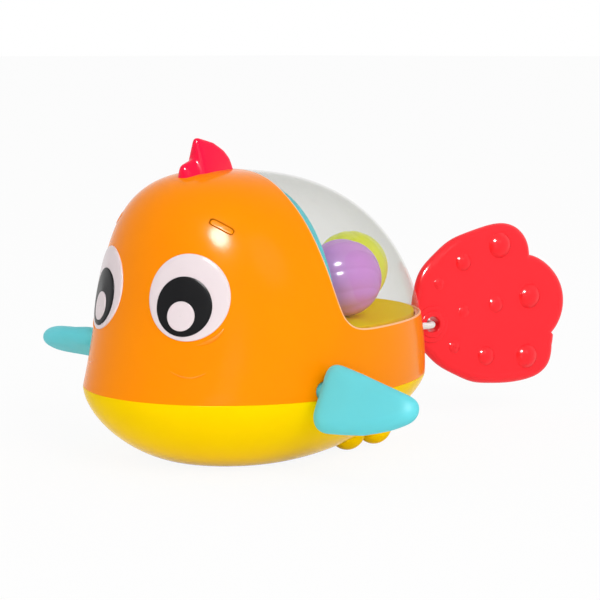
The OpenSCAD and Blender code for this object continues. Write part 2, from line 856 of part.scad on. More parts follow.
// Stands children at the eyelet: X along the tail, Y up, Z out of the plate's face
module on_tail() {
    translate(eyelet_at) rotate([0, 0, -tail_twist]) rotate([90, 0, 90]) children();
}

module tail_outline() {
    for (lobe = lobe_shares) hull() for (c = lobe)
        translate(tail_len * [c.x, c.y]) circle(r = tail_len * c.z, $fn = 40);
}

module tail_fin() {
    color("tomato") on_tail() difference() {
        union() {
            linear_extrude(tail_t, center = true) tail_outline();
            for (b = bump_shares) translate(tail_len * [b.x, b.y])
                sphere(r = norm([tail_len * b.z, tail_t / 2]));
            cylinder(d = ring_d, h = tail_t + 2 * ring_up, center = true);
            cylinder(d = eye_boss_d, h = tail_t + 2 * boss_up, center = true);
        }
        cylinder(d = eyelet_d, h = tail_t + 2 * over, center = true);
    }
}

module pull_cord() {
    color("white") y_rod(cord_d, drum_y + cord_start, knot_y - knot_d / 2 - 2 * clear, cord_z);
}

function signed_pow(v, e) = sign(v) * pow(abs(v), e);
// Middle of the loop's cord at angle a, in the tail's own directions
function loop_at(a) =
    [loop_in - loop_half_u + loop_half_u * signed_pow(cos(a), 2 / loop_power), 0,
     loop_half_n * signed_pow(sin(a), 2 / loop_power)];
// Radius of the loop's cord at angle a, which swells to the knot at the end next to the body
function loop_r(a) = cord_d / 2 + (knot_d - cord_d) / 2 * pow(max(-cos(a), 0), knot_power);
// Ring of points round the loop's cord at step k
function loop_ring(k) =
    let (a = 360 * (k + 1 / 2) / loop_n, d = loop_at(a + 1) - loop_at(a - 1), m = [d.z, 0, -d.x] / norm(d))
    [for (j = [0:cord_n - 1]) let (b = 360 * j / cord_n)
        loop_at(a) + loop_r(a) * (m * cos(b) - [0, sin(b), 0])];

// Loop through the eyelet, with the knot that ties it to the pull cord
module cord_loop() {
    color("white") on_tail() ring_loop([for (k = [0:loop_n - 1]) loop_ring(k)]);
}

module purple_ball() {
    color("mediumpurple") translate([purple_shares.x * body_w / 2, purple_shares.y * rear_len, ball_z])
        sphere(d = ball_d);
}

module lime_ball() {
    color("yellowgreen") translate([lime_share * body_w / 2, lime_y, ball_z]) sphere(d = ball_d);
}

upper_shell();
lower_hull();
clear_dome();
chamber_wall();
ball_tray();
crest();
left_eye();
right_eye();
left_pupil();
right_pupil();
chassis();
chassis_screw_1();
chassis_screw_2();
chassis_screw_3();
chassis_screw_4();
left_gear_plate();
right_gear_plate();
plate_spacer_1();
plate_spacer_2();
plate_spacer_3();
plate_bolt_1();
plate_bolt_2();
plate_bolt_3();
idler_axle();
mainspring();
left_fin_bush();
right_fin_bush();
cord_grommet();
ballast_weight();
cord_drum();
cord_winding();
drum_shaft();
drum_gear();
idler_gear();
fin_shaft();
fin_pinion();
left_fin();
right_fin();
pull_cord();
cord_loop();
tail_fin();
purple_ball();
lime_ball();
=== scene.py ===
"""Looks of a fish bath toy: shell and hull, clear dome with two balls, paddle fins and a tail on a cord."""

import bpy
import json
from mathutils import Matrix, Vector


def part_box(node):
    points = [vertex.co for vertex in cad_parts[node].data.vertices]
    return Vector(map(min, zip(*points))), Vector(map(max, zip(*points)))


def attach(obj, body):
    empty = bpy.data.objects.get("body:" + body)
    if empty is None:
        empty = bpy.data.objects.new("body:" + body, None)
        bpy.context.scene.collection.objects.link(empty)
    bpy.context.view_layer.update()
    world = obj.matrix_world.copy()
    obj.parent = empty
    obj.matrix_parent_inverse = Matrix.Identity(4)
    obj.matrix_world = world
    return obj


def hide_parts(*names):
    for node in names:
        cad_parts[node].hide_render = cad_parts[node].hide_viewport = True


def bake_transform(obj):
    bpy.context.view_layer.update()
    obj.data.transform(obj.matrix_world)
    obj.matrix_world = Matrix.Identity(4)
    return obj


bl_info = {
    "name": "Fish Bath Toy",
    "version": (1, 0, 0),
    "blender": (4, 5, 0),
    "location": "View3D > Sidebar > Bath Toy",
    "description": "Models and paints a fish bath toy around its packed solids",
    "category": "Object",
}

import json
import math

import bmesh
import bpy
from mathutils import Matrix, Vector
from mathutils.bvhtree import BVHTree

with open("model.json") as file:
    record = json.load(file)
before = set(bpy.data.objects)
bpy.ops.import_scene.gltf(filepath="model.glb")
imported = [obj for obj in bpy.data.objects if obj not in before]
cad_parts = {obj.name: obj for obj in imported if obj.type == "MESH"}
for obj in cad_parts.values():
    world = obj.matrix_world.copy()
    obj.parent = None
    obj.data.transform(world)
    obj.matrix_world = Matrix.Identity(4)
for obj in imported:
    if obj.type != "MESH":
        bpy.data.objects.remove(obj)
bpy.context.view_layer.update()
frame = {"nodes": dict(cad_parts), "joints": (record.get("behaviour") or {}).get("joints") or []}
JOINTS = {joint["name"]: joint for joint in frame["joints"]}
HULL_LOW, HULL_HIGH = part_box("lower_hull")
SHELL_LOW, SHELL_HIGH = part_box("upper_shell")
FIN_AXIS = Vector(JOINTS["fin_spin"]["pos_m"])
KNOT = Vector(JOINTS["loop_swing"]["pos_m"])
EYELET = Vector(JOINTS["tail_tilt"]["pos_m"])
QUARTER = math.pi / 2
TURN = 2 * math.pi
SIDES = ("left", "right")

# Lengths in metres and slopes that count as none, and turns at which faces count as flat, creased or cornered
TINY = 1e-6
FLAT = math.radians(1)
CREASE = math.radians(40)
CORNER = math.radians(50)


# Sizes and colours that a user would change
def length(name, description, default):
    """A length property in metres."""
    return bpy.props.FloatProperty(
        name=name, description=description, default=default, unit="LENGTH", precision=5)


def angle(name, description, degrees):
    """An angle property, given in degrees."""
    return bpy.props.FloatProperty(
        name=name, description=description, default=math.radians(degrees), subtype="ANGLE", unit="ROTATION")


def watts(name, description, default):
    """A lamp's power property."""
    return bpy.props.FloatProperty(name=name, description=description, default=default, unit="POWER")


def pixels(name, description, default):
    """A property in pixels of the image."""
    return bpy.props.FloatProperty(name=name, description=description, default=default, subtype="PIXEL")


def colour(name, description, default):
    """A linear colour property."""
    return bpy.props.FloatVectorProperty(
        name=name, description=description, default=default, size=3, min=0, max=1, subtype="COLOR")


class ToySizes(bpy.types.PropertyGroup):
    """Sizes of the moulded pieces, with the body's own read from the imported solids."""

    body_w: length("Body width", "Width of the body at the seam", HULL_HIGH.x - HULL_LOW.x)
    nose_len: length("Nose length", "Body axis to the nose at the seam", -HULL_LOW.y)
    rear_len: length("Rear length", "Body axis to the rear at the seam", HULL_HIGH.y)
    seam_z: length("Seam height", "Height of the seam above the base", SHELL_LOW.z)
    crown_h: length("Crown height", "Height of the crown above the seam", SHELL_HIGH.z - SHELL_LOW.z)
    crown_lean: length("Crown lean", "Shift of the crown towards the nose", 0.0095)
    face_draw: length("Face draw", "How far the face is drawn in at mid height", 0.0073)
    base_shift: length("Base shift", "Shift of the flat base towards the nose", 0.004)
    wall: length("Wall", "Wall of the shell and the hull", 0.0022)
    dome_wall: length("Dome wall", "Wall of the clear dome", 0.0006)
    rim_r: length("Rim radius", "Rounding of the shell's and the hull's edges", 0.001)
    fin_shoulder: length("Fin shoulder", "Width of a fin's rounded edge", 0.0055)
    crest_len: length("Crest length", "Length of the crest along the head", 0.0236)
    crest_w: length("Crest width", "Width of the crest at its feet", 0.0124)
    crest_h: length("Crest height", "Height of the crest above the crown", 0.0111)
    crest_back: length("Crest place", "Rear end of the crest in front of the body axis", 0.0045)
    eye_d: length("Eye", "Diameter of the white of an eye", 0.0288)
    pupil_d: length("Pupil", "Diameter of the pupil", 0.0198)
    glint_d: length("Glint", "Diameter of the glint", 0.0098)
    eye_rise: length("Eye rise", "How far an eye stands out of the head", 0.0007)
    hub_d: length("Fin hub", "Diameter of a fin's hub", 0.0058)
    hub_play: length("Hub play", "Gap between a hub and its hole", 0.0006)
    fin_t: length("Fin thickness", "Thickness of a fin's blade", 0.0076)
    fin_chord: length("Fin chord", "Chord of a fin at its root", 0.0232)
    left_phase: angle("Left fin", "Turn of the left fin about its shaft", -25)
    right_phase: angle("Right fin", "Turn of the right fin about its shaft", -120)
    tail_len: length("Tail length", "Length of the tail plate behind its eyelet", 0.063)
    tail_t: length("Tail thickness", "Thickness of the tail plate", 0.0054)
    tail_shoulder: length("Tail shoulder", "Width of the tail plate's rounded edge", 0.0036)
    eyelet_d: length("Eyelet", "Diameter of the eyelet's hole", 0.006)
    cord_d: length("Cord", "Diameter of the cord", 0.0025)
    knot_d: length("Knot", "Diameter of the knot", 0.0048)


class ToyColours(bpy.types.PropertyGroup):
    """Colours of the mouldings, the cord and the metal parts."""

    orange: colour("Orange", "Upper shell", (1.0, 0.265, 0.0))
    yellow: colour("Yellow", "Hull and ball tray", (1.0, 0.65, 0.0))
    clear: colour("Clear", "Tint of the dome", (0.2, 0.205, 0.12))
    # Pale orange of the tube round the dome's edge: a painted highlight of the shell's rounded rim
    rim_highlight: colour("Bead", "Pale edge of the dome", (1.0, 0.52, 0.26))
    teal: colour("Teal", "Fins and chamber wall", (0.135, 0.67, 0.74))
    red: colour("Red", "Tail plate", (0.95, 0.02, 0.03))
    crimson: colour("Crimson", "Crest", (0.95, 0.002, 0.05))
    white: colour("White", "Eyes and cord guide", (0.77, 0.67, 0.69))
    black: colour("Black", "Pupils", (0.01, 0.01, 0.011))
    purple: colour("Purple", "First ball", (0.68, 0.28, 0.74))
    lime: colour("Lime", "Second ball", (0.87, 0.91, 0.03))
    purple_streak: colour("Purple streak", "Streaks of the first ball", (0.74, 0.46, 0.8))
    lime_streak: colour("Lime streak", "Streaks of the second ball", (0.86, 0.88, 0.2))
    frame: colour("Frame", "Chassis, gear plates and drum", (0.72, 0.72, 0.7))
    gear: colour("Gear", "Gears", (0.8, 0.76, 0.62))
    steel: colour("Steel", "Shafts, screws, spring and ballast", (0.56, 0.57, 0.6))
    brass: colour("Brass", "Bearing bushes", (0.78, 0.56, 0.24))
    cord: colour("Cord", "Pull cord and loop", (0.84, 0.84, 0.82))


class StageSettings(bpy.types.PropertyGroup):
    """Camera and lights, as in the photograph."""

    azimuth: angle("Azimuth", "Camera's turn about the toy", 46.556)
    elevation: angle("Elevation", "Camera's height over the toy", 7.14)
    distance: length("Distance", "Camera to the middle of the toy", 0.73335)
    middle_z: length("Middle height", "Height of the point that the view is set by", 0.05)
    focal: pixels("Focal length", "Focal length in pixels of the image", 2101.8)
    middle_px: bpy.props.FloatVectorProperty(
        name="Middle in the image", description="Pixel where that point lies", size=2,
        default=(242.53, 311.3))
    image_px: pixels("Image size", "Side of the square image", 600)
    sky: bpy.props.FloatProperty(
        name="Sky", description="Strength of the even white light", default=0.72, subtype="FACTOR")
    key: watts("Key", "Power of the key lamp", 8.6)
    fill: watts("Fill", "Power of the low lamp in front", 1.1)
    glint: watts("Glint", "Power of the glint lamp", 75.0)


# Shader maths: sockets that add up in Python, and one method for every other node
class Wire:
    """An output socket of a material, whose sums become Math nodes."""

    def __init__(self, paint, socket):
        self.paint = paint
        self.socket = socket

    def _math(self, operation, first, second):
        return self.paint.add("ShaderNodeMath", {"operation": operation}, {0: first, 1: second})

    def __add__(self, other):
        return self._math("ADD", self, other)

    def __radd__(self, other):
        return self._math("ADD", other, self)

    def __sub__(self, other):
        return self._math("SUBTRACT", self, other)

    def __rsub__(self, other):
        return self._math("SUBTRACT", other, self)

    def __mul__(self, other):
        return self._math("MULTIPLY", self, other)

    def __rmul__(self, other):
        return self._math("MULTIPLY", other, self)

    def __pow__(self, other):
        return self._math("POWER", self, other)


class Paint:
    """The nodes of a material or of the world, with one shader."""

    def __init__(self, owner, out="ShaderNodeOutputMaterial"):
        owner.use_nodes = True
        self.owner = owner
        self.tree = owner.node_tree
        self.tree.nodes.clear()
        self.out = self.tree.nodes.new(out)

    def add(self, kind, settings=None, inputs=None, out=0):
        """Adds a node, with its settings first and then the values or wires of its sockets."""
        node = self.tree.nodes.new(kind)
        for name, value in (settings or {}).items():
            setattr(node, name, value)
        for name, value in (inputs or {}).items():
            socket = node.inputs[name]
            if isinstance(value, Wire):
                self.tree.links.new(value.socket, socket)
            else:
                socket.default_value = value
        return Wire(self, node.outputs[out])

    def place(self):
        """Object coordinates."""
        return self.add("ShaderNodeTexCoord", out="Object")

    def noise(self, scale, detail=2.0, place=None):
        """Soft noise from 0 to 1."""
        return self.add("ShaderNodeTexNoise", {}, {
            "Vector": place or self.place(), "Scale": scale, "Detail": detail})

    def mix(self, factor, first, second):
        """One colour to another."""
        return self.add("ShaderNodeMix", {"data_type": "RGBA"}, {0: factor, 6: first, 7: second}, out=2)

    def bump(self, height, strength, distance):
        """Normal of a bumpy surface."""
        return self.add("ShaderNodeBump", {}, {
            "Height": height, "Strength": strength, "Distance": distance})

    def finish(self, inputs):
        """Feeds one Principled shader to the surface."""
        return self.show(self.add("ShaderNodeBsdfPrincipled", {}, inputs))

    def show(self, shader):
        """Feeds a shader to the surface."""
        self.tree.links.new(shader.socket, self.out.inputs["Surface"])
        return self.owner


def shade(rgb, factor):
    """A colour made lighter or darker, with its alpha."""
    return (*(min(channel * factor, 1) for channel in rgb), 1)


def finish_name(slot):
    """Name of the finish of a slot, apart from the plain one that came with the solids."""
    return f"{slot}_finish"


def new_finish(slot):
    """A new finish for a slot, without its nodes."""
    return Paint(bpy.data.materials.new(finish_name(slot)))


def moulded_plastic(name, rgb, roughness=0.16, specular=0.07, mottle=0.06):
    """Glossy moulded plastic: faint flow clouds, a fine peel and uneven gloss."""
    paint = new_finish(name)
    clouds = paint.noise(scale=38, detail=3)
    grain = paint.noise(scale=1500, detail=2)
    rubs = paint.noise(scale=160, detail=4)
    return paint.finish({
        "Base Color": paint.mix(clouds, shade(rgb, 1 - mottle), shade(rgb, 1 + mottle)),
        "Roughness": roughness + (rubs - 0.5) * 0.08,
        "Specular IOR Level": specular,
        "Normal": paint.bump(0.6 * grain + 0.4 * rubs, strength=0.05, distance=0.0003),
    })


def clear_plastic(name, rgb):
    """Clear moulded plastic: pale in the middle, denser and brighter towards its edge."""
    paint = new_finish(name)
    facing = paint.add("ShaderNodeLayerWeight", {}, {"Blend": 0.5}, out="Facing")
    haze = paint.noise(scale=45, detail=3)
    return paint.finish({
        "Base Color": paint.mix(haze, shade(rgb, 0.97), shade(rgb, 1.03)),
        "Roughness": 0.07 + 0.05 * haze,
        "Alpha": 0.07 + 0.02 * haze + 0.2 * facing ** 3,
        "Specular IOR Level": 0.2,
        "Normal": paint.bump(haze, strength=0.03, distance=0.0006),
    })


def machine_plastic(name, rgb):
    """Plain moulded plastic of the drive, with a dull grain."""
    paint = new_finish(name)
    clouds = paint.noise(scale=90, detail=3)
    grain = paint.noise(scale=2200, detail=2)
    return paint.finish({
        "Base Color": paint.mix(clouds, shade(rgb, 0.9), shade(rgb, 1.05)),
        "Roughness": 0.48 + 0.12 * grain,
        "Normal": paint.bump(grain, strength=0.12, distance=0.0002),
    })


def drawn_metal(name, rgb, roughness):
    """Turned or drawn metal with fine marks along X."""
    paint = new_finish(name)
    stretch = paint.add("ShaderNodeMapping", {}, {"Vector": paint.place(), "Scale": (60, 2600, 2600)})
    marks = paint.noise(scale=1, detail=3, place=stretch)
    return paint.finish({
        "Base Color": paint.mix(marks, shade(rgb, 0.82), shade(rgb, 1.08)),
        "Metallic": 1.0,
        "Roughness": roughness + 0.14 * marks,
        "Normal": paint.bump(marks, strength=0.1, distance=0.0001),
    })


def braided_cord(name, rgb):
    """White braided cord: pale threads with shadows between them."""
    paint = new_finish(name)
    threads = paint.noise(scale=2600, detail=2)
    fuzz = paint.noise(scale=700, detail=4)
    return paint.finish({
        "Base Color": paint.mix(threads, shade(rgb, 0.78), shade(rgb, 1.08)),
        "Roughness": 0.82,
        "Sheen Weight": 0.25,
        "Normal": paint.bump(0.7 * threads + 0.3 * fuzz, strength=0.5, distance=0.0002),
    })


def swirled_ball(name, rgb, streak):
    """Ball plastic with streaks of a second shade along its swirl."""
    paint = new_finish(name)
    clouds = paint.noise(scale=70, detail=4)
    streaks = paint.add("ShaderNodeTexWave", {"wave_profile": "SAW"}, {
        "Vector": paint.place(), "Scale": 26, "Distortion": 5, "Detail": 3})
    return paint.finish({
        "Base Color": paint.mix(0.55 * streaks * clouds, shade(rgb, 1), shade(streak, 1)),
        "Roughness": 0.18 + 0.1 * clouds,
        "Specular IOR Level": 0.2,
        "Normal": paint.bump(clouds, strength=0.05, distance=0.0003),
    })


def make_finishes(colours):
    """Makes the finish of every slot in the record, and those of a few pieces of their own."""
    moulded_plastic("orange_plastic", colours.orange, specular=0.05)
    moulded_plastic("head_ridge", colours.orange, roughness=0.2, specular=0.25)
    moulded_plastic("yellow_plastic", colours.yellow, specular=0.012)
    moulded_plastic("teal_plastic", colours.teal, roughness=0.5, specular=0.12)
    moulded_plastic("red_plastic", colours.red, roughness=0.17, specular=0.2)
    moulded_plastic("crimson_plastic", colours.crimson, roughness=0.18, specular=0.15)
    moulded_plastic("ball_tray", colours.yellow, roughness=0.6, specular=0)
    # The tube round the dome's edge gets a pale finish, a painted highlight of the shell's rim
    moulded_plastic("dome_bead", colours.rim_highlight, roughness=0.3)
    moulded_plastic("white_plastic", colours.white, mottle=0.02)
    moulded_plastic("black_plastic", colours.black, roughness=0.25, mottle=0.2)
    clear_plastic("clear_plastic", colours.clear)
    swirled_ball("purple_plastic", colours.purple, colours.purple_streak)
    swirled_ball("lime_plastic", colours.lime, colours.lime_streak)
    machine_plastic("frame_plastic", colours.frame)
    machine_plastic("gear_plastic", colours.gear)
    drawn_metal("steel", colours.steel, roughness=0.28)
    drawn_metal("brass", colours.brass, roughness=0.24)
    braided_cord("cord", colours.cord)


def finish_of(context, slot):
    """The finish of a slot, made with all the others at its first use."""
    if finish_name(slot) not in bpy.data.materials:
        make_finishes(context.scene.bath_toy_colours)
    return bpy.data.materials[finish_name(slot)]


# Modelling helpers
def signed_power(value, power):
    """A power that keeps the sign."""
    return math.copysign(abs(value) ** power, value)


def sheet(columns, rows, place):
    """A grid moved to place(u, v), with u and v from 0 to 1, and its meeting edges merged."""
    bm = bmesh.new()
    made = bmesh.ops.create_grid(bm, x_segments=columns, y_segments=rows, size=0.5)["verts"]
    for vert in made:
        vert.co = place(vert.co.x + 0.5, vert.co.y + 0.5)
    bmesh.ops.remove_doubles(bm, verts=made, dist=TINY)
    bmesh.ops.recalc_face_normals(bm, faces=bm.faces)
    return bm


def rod(radius, low, high, into=None, segments=96):
    """A cylinder between two points."""
    bm = into or bmesh.new()
    along = high - low
    turn = along.to_track_quat("Z", "Y").to_matrix().to_4x4()
    bmesh.ops.create_cone(bm, cap_ends=True, segments=segments, radius1=radius, radius2=radius,
                          depth=along.length, matrix=Matrix.Translation((low + high) / 2) @ turn)
    return bm


def sharp_edges(bm, limit):
    """Edges whose faces meet at more than limit."""
    return [e for e in bm.edges if len(e.link_faces) == 2 and e.calc_face_angle(0) > limit]


def round_edges(bm, edges, radius, segments=3):
    """Rounds the given edges."""
    bmesh.ops.bevel(bm, geom=edges, offset=radius, offset_type="OFFSET", affect="EDGES", segments=segments,
                    profile=0.5, material=-1, clamp_overlap=True)


def round_sharp(bm, limit, radius, segments):
    """Rounds the edges whose faces meet at more than limit."""
    round_edges(bm, sharp_edges(bm, limit), radius, segments)


def add_ball(bm, middle, radius, rings=24):
    """Adds a ball to a shape."""
    bmesh.ops.create_uvsphere(bm, u_segments=48, v_segments=rings, radius=radius,
                              matrix=Matrix.Translation(middle))
    return bm


def loose_object(bm, name):
    """A new object from a shape."""
    mesh = bpy.data.meshes.new(name)
    bm.to_mesh(mesh)
    bm.free()
    obj = bpy.data.objects.new(name, mesh)
    bpy.context.scene.collection.objects.link(obj)
    return obj


def applied(obj):
    """The shape of an object after its modifiers."""
    bpy.context.view_layer.update()
    shown = obj.evaluated_get(bpy.context.evaluated_depsgraph_get())
    result = bmesh.new()
    result.from_mesh(shown.to_mesh())
    shown.to_mesh_clear()
    return result


def discard(obj):
    """Takes an object and its mesh away."""
    mesh = obj.data
    bpy.data.objects.remove(obj)
    bpy.data.meshes.remove(mesh)


def wrapped(balls):
    """The tight skin round balls, each given by its middle and radius."""
    bm = bmesh.new()
    for middle, radius in balls:
        add_ball(bm, middle, radius)
    bmesh.ops.delete(bm, geom=bm.edges[:] + bm.faces[:], context="EDGES_FACES")
    bmesh.ops.convex_hull(bm, input=bm.verts)
    bmesh.ops.delete(bm, geom=[v for v in bm.verts if not v.link_faces], context="VERTS")
    bmesh.ops.recalc_face_normals(bm, faces=bm.faces)
    return bm


def combine(bm, tool, operation):
    """Joins a second closed shape to the first one, or cuts it away."""
    base = loose_object(bm, "base")
    other = loose_object(tool, "tool")
    modifier = base.modifiers.new("combine", "BOOLEAN")
    modifier.operation = operation
    modifier.solver = "EXACT"
    modifier.object = other
    result = applied(base)
    for obj in (base, other):
        discard(obj)
    return result


def melted(bm, voxel, passes):
    """Joins a shape into one skin of even faces and softens its inner corners."""
    base = loose_object(bm, "base")
    modifier = base.modifiers.new("melt", "REMESH")
    modifier.mode = "VOXEL"
    modifier.voxel_size = voxel
    result = applied(base)
    discard(base)
    for _ in range(passes):
        bmesh.ops.smooth_vert(result, verts=result.verts, factor=0.5, use_axis_x=True, use_axis_y=True,
                              use_axis_z=True)
    return result


def make_piece(context, name, bm, slot, body=None, replaced=(), crease=CREASE, finish=None):
    """Makes a shape a finished piece: smooth but for its creases, painted, and riding on its body."""
    for face in bm.faces:
        face.smooth = True
    for edge in bm.edges:
        edge.smooth = edge.calc_face_angle(0) < crease
    obj = loose_object(bm, name)
    obj.data.materials.append(finish_of(context, finish or slot))
    if body:
        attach(obj, body)
    if replaced:
        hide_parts(*replaced)
    return obj


def bevelled_copy(node, radius=0.0004, segments=2):
    """A CAD node's shape with its flat faces joined and its edges rounded."""
    bm = bmesh.new()
    bm.from_mesh(frame["nodes"][node].data)
    bmesh.ops.remove_doubles(bm, verts=bm.verts, dist=TINY)
    bmesh.ops.dissolve_limit(bm, angle_limit=FLAT, verts=bm.verts, edges=bm.edges)
    round_sharp(bm, CREASE, radius, segments)
    return bm


# The body's form: a flat chart of the upper body in radians from the crown, and the bowl of the hull
CROWN_POWER = 2.5
HULL_POWER = 1.55
BASE_SHARE = 0.38
DOME_POLE = 0.4 * QUARTER
DOME_FRONT = 0.028 * QUARTER
DOME_SWEEP = 0.14
DOME_CORNER = 6
DOME_UP = 0.0215
STEEPEST = 0.05
FAR = 10 * QUARTER
HOLE_START_SHARE = 0.36


def body_at(sizes, q, inset=0.0):
    """Point of the upper body at chart place q, moved inwards by inset."""
    t = QUARTER - min(q.length, QUARTER)
    phi = math.atan2(q.x, q.y)
    out = max(math.cos(t), 0) ** (2 / CROWN_POWER)
    up = max(math.sin(t), 0) ** (2 / CROWN_POWER)
    reach = (sizes.rear_len - inset) * out
    if math.cos(phi) > 0:
        reach = (sizes.nose_len - inset) * out - sizes.face_draw * 4 * up * (1 - up)
    return Vector(((sizes.body_w / 2 - inset) * out * math.sin(phi),
                   -sizes.crown_lean * up * up - reach * math.cos(phi),
                   sizes.seam_z + (sizes.crown_h - inset) * up))


def hull_at(sizes, phi, t):
    """Point of the hull at angle phi from the nose and step t from the seam to the base."""
    out = BASE_SHARE + (1 - BASE_SHARE) * max(math.cos(t), 0) ** (2 / HULL_POWER)
    down = max(math.sin(t), 0) ** (2 / HULL_POWER)
    reach = sizes.nose_len if math.cos(phi) > 0 else sizes.rear_len
    return Vector((sizes.body_w / 2 * out * math.sin(phi),
                   -sizes.base_shift * down - reach * out * math.cos(phi),
                   sizes.seam_z * (1 - down)))


def pole_q():
    """Middle of the dome on the chart."""
    return Vector((0, -DOME_POLE))


def seam_q(turn):
    """Seam on the chart, at a share of the way round."""
    return QUARTER * Vector((math.sin(TURN * turn), math.cos(TURN * turn)))


def edge_q(sizes, turn, more=0.0):
    """Dome's edge on the chart, in line with the dome's middle."""
    ray = (seam_q(turn) - pole_q()).normalized()
    low = QUARTER - math.asin((DOME_UP / sizes.crown_h) ** (CROWN_POWER / 2))
    slope = ray.y - DOME_SWEEP * ray.x * ray.x
    line = (DOME_POLE - DOME_FRONT) / slope if slope > STEEPEST else FAR
    ring = DOME_POLE * ray.y + math.sqrt((DOME_POLE * ray.y) ** 2 - DOME_POLE ** 2 + low ** 2)
    rho = (line ** -DOME_CORNER + ring ** -DOME_CORNER) ** (-1 / DOME_CORNER)
    return pole_q() + ray * (rho + more)


def shell_skin(sizes, columns=240, rows=40):
    """Outer face of the upper shell, open at the seam and at the dome."""
    return sheet(columns, rows, lambda u, v: body_at(sizes, seam_q(u).lerp(edge_q(sizes, u), v)))


def head_tree(sizes):
    """The upper shell's face, for setting pieces on it."""
    skin = shell_skin(sizes)
    tree = BVHTree.FromBMesh(skin)
    skin.free()
    return tree


def body_out(sizes, q, step=1e-4):
    """Outward direction of the upper body at chart place q."""
    across = body_at(sizes, q + Vector((step, 0))) - body_at(sizes, q - Vector((step, 0)))
    along = body_at(sizes, q + Vector((0, step))) - body_at(sizes, q - Vector((0, step)))
    return along.cross(across).normalized()


def hub_holes(sizes):
    """Cutters for the round holes that the fin hubs stand in."""
    radius = sizes.hub_d / 2 + sizes.hub_play
    across = Vector((sizes.body_w, 0, 0))
    cut = rod(radius, FIN_AXIS + HOLE_START_SHARE * across, FIN_AXIS + across)
    return rod(radius, FIN_AXIS - across, FIN_AXIS - HOLE_START_SHARE * across, into=cut)


def walled(bm, thickness, radius):
    """Gives an outer face its wall and rounds the wall's edges."""
    bmesh.ops.solidify(bm, geom=bm.faces[:], thickness=thickness)
    bmesh.ops.recalc_face_normals(bm, faces=bm.faces)
    round_sharp(bm, CORNER, radius, 4)
    return bm


# How square a pad's rim and face are, and how far above the head the search for its face starts
PAD_RIM_POWER = 0.12
PAD_FACE_POWER = 0.5
PAD_START = 0.05


def pad(tree, centre, out, down, fore, rim, low, high):
    """A closed pad on the head inside an outline, from low to high above it, with a rounded rim."""
    def place(u, v):
        turn = math.pi * (v - 0.5)
        share = max(math.cos(turn), 0) ** PAD_RIM_POWER
        lift = (low + high) / 2 + (high - low) / 2 * signed_power(math.sin(turn), PAD_FACE_POWER)
        a, b = rim(TURN * u)
        hit = tree.ray_cast(centre + share * (a * down + b * fore) + PAD_START * out, -out)[0]
        return hit + lift * out
    return sheet(96, 24, place)


def mirrored(bm):
    """The same shape on the other side of the body."""
    bmesh.ops.scale(bm, vec=(-1, 1, 1), verts=bm.verts)
    bmesh.ops.recalc_face_normals(bm, faces=bm.faces)
    return bm


def on_side(bm, word):
    """A shape of the left side, mirrored if it belongs on the right."""
    return mirrored(bm) if word == "right" else bm


# Ends of the bar over an eye on the chart, as shares of a quarter turn, and the bar in its groove
BAR_ENDS = ((0.2854, 0.3633), (0.3619, 0.3504))
BAR_HALF_WIDTH = 0.001
BAR_ROOT = 0.001
BAR_RISE = 0.0002
GROOVE_WIDTH = 0.0003
GROOVE_DEPTH = 0.0008


def bar_pad(sizes, tree, half_width, low, high, power=0.42):
    """A bar with round ends over the left eye, from low to high above the head."""
    first, last = (body_at(sizes, QUARTER * Vector(end)) for end in BAR_ENDS)
    centre, out = tree.find_nearest((first + last) / 2)[:2]
    fore = (first - last) - (first - last).dot(out) * out
    half = fore.length / 2 + half_width
    fore.normalize()

    def rim(turn):
        return half_width * signed_power(math.cos(turn), power), half * signed_power(math.sin(turn), power)
    return pad(tree, centre, out, out.cross(fore), fore, rim, low, high)


class BATHTOY_OT_shell(bpy.types.Operator):
    """Model the orange upper shell, open for the dome and the fin hubs"""

    bl_idname = "bath_toy.shell"
    bl_label = "Upper Shell"

    def execute(self, context):
        sizes = context.scene.bath_toy_sizes
        bm = walled(shell_skin(sizes), sizes.wall, sizes.rim_r)
        bm = combine(bm, hub_holes(sizes), "DIFFERENCE")
        tree = head_tree(sizes)
        for word in SIDES:
            groove = bar_pad(sizes, tree, BAR_HALF_WIDTH + GROOVE_WIDTH, -GROOVE_DEPTH, GROOVE_DEPTH)
            bm = combine(bm, on_side(groove, word), "DIFFERENCE")
        make_piece(context, "shell_moulding", bm, "orange_plastic", "body", ["upper_shell"])
        return {"FINISHED"}


# Places of the foot lobes across and to the rear, as shares, and the step where the bowl meets its base
FOOT_SHARES = ((0.44, 0.38), (0.415, 0.58))
BOWL_SHARE = 0.9


class BATHTOY_OT_hull(bpy.types.Operator):
    """Model the yellow hull with its flat base and foot lobes"""

    bl_idname = "bath_toy.hull"
    bl_label = "Hull"

    def execute(self, context):
        sizes = context.scene.bath_toy_sizes

        def place(u, v):
            base = Vector((0, -sizes.base_shift, 0))
            return hull_at(sizes, TURN * u, QUARTER * min(v / BOWL_SHARE, 1)).lerp(
                base, max(v - BOWL_SHARE, 0) / (1 - BOWL_SHARE))

        bm = walled(sheet(240, 50, place), sizes.wall, sizes.rim_r)
        for share_x, share_y in FOOT_SHARES:
            for side in (-1, 1):
                bm = combine(bm, self.foot(sizes, side * share_x, share_y), "UNION")
        bm = combine(bm, hub_holes(sizes), "DIFFERENCE")
        make_piece(context, "hull_moulding", bm, "yellow_plastic", "body", ["lower_hull"])
        return {"FINISHED"}

    def foot(self, sizes, share_x, share_y, radius=0.0065, rise=0.0003):
        """One round foot lobe."""
        middle = Vector((share_x * sizes.body_w / 2, share_y * sizes.rear_len, radius + rise))
        return add_ball(bmesh.new(), middle, radius)


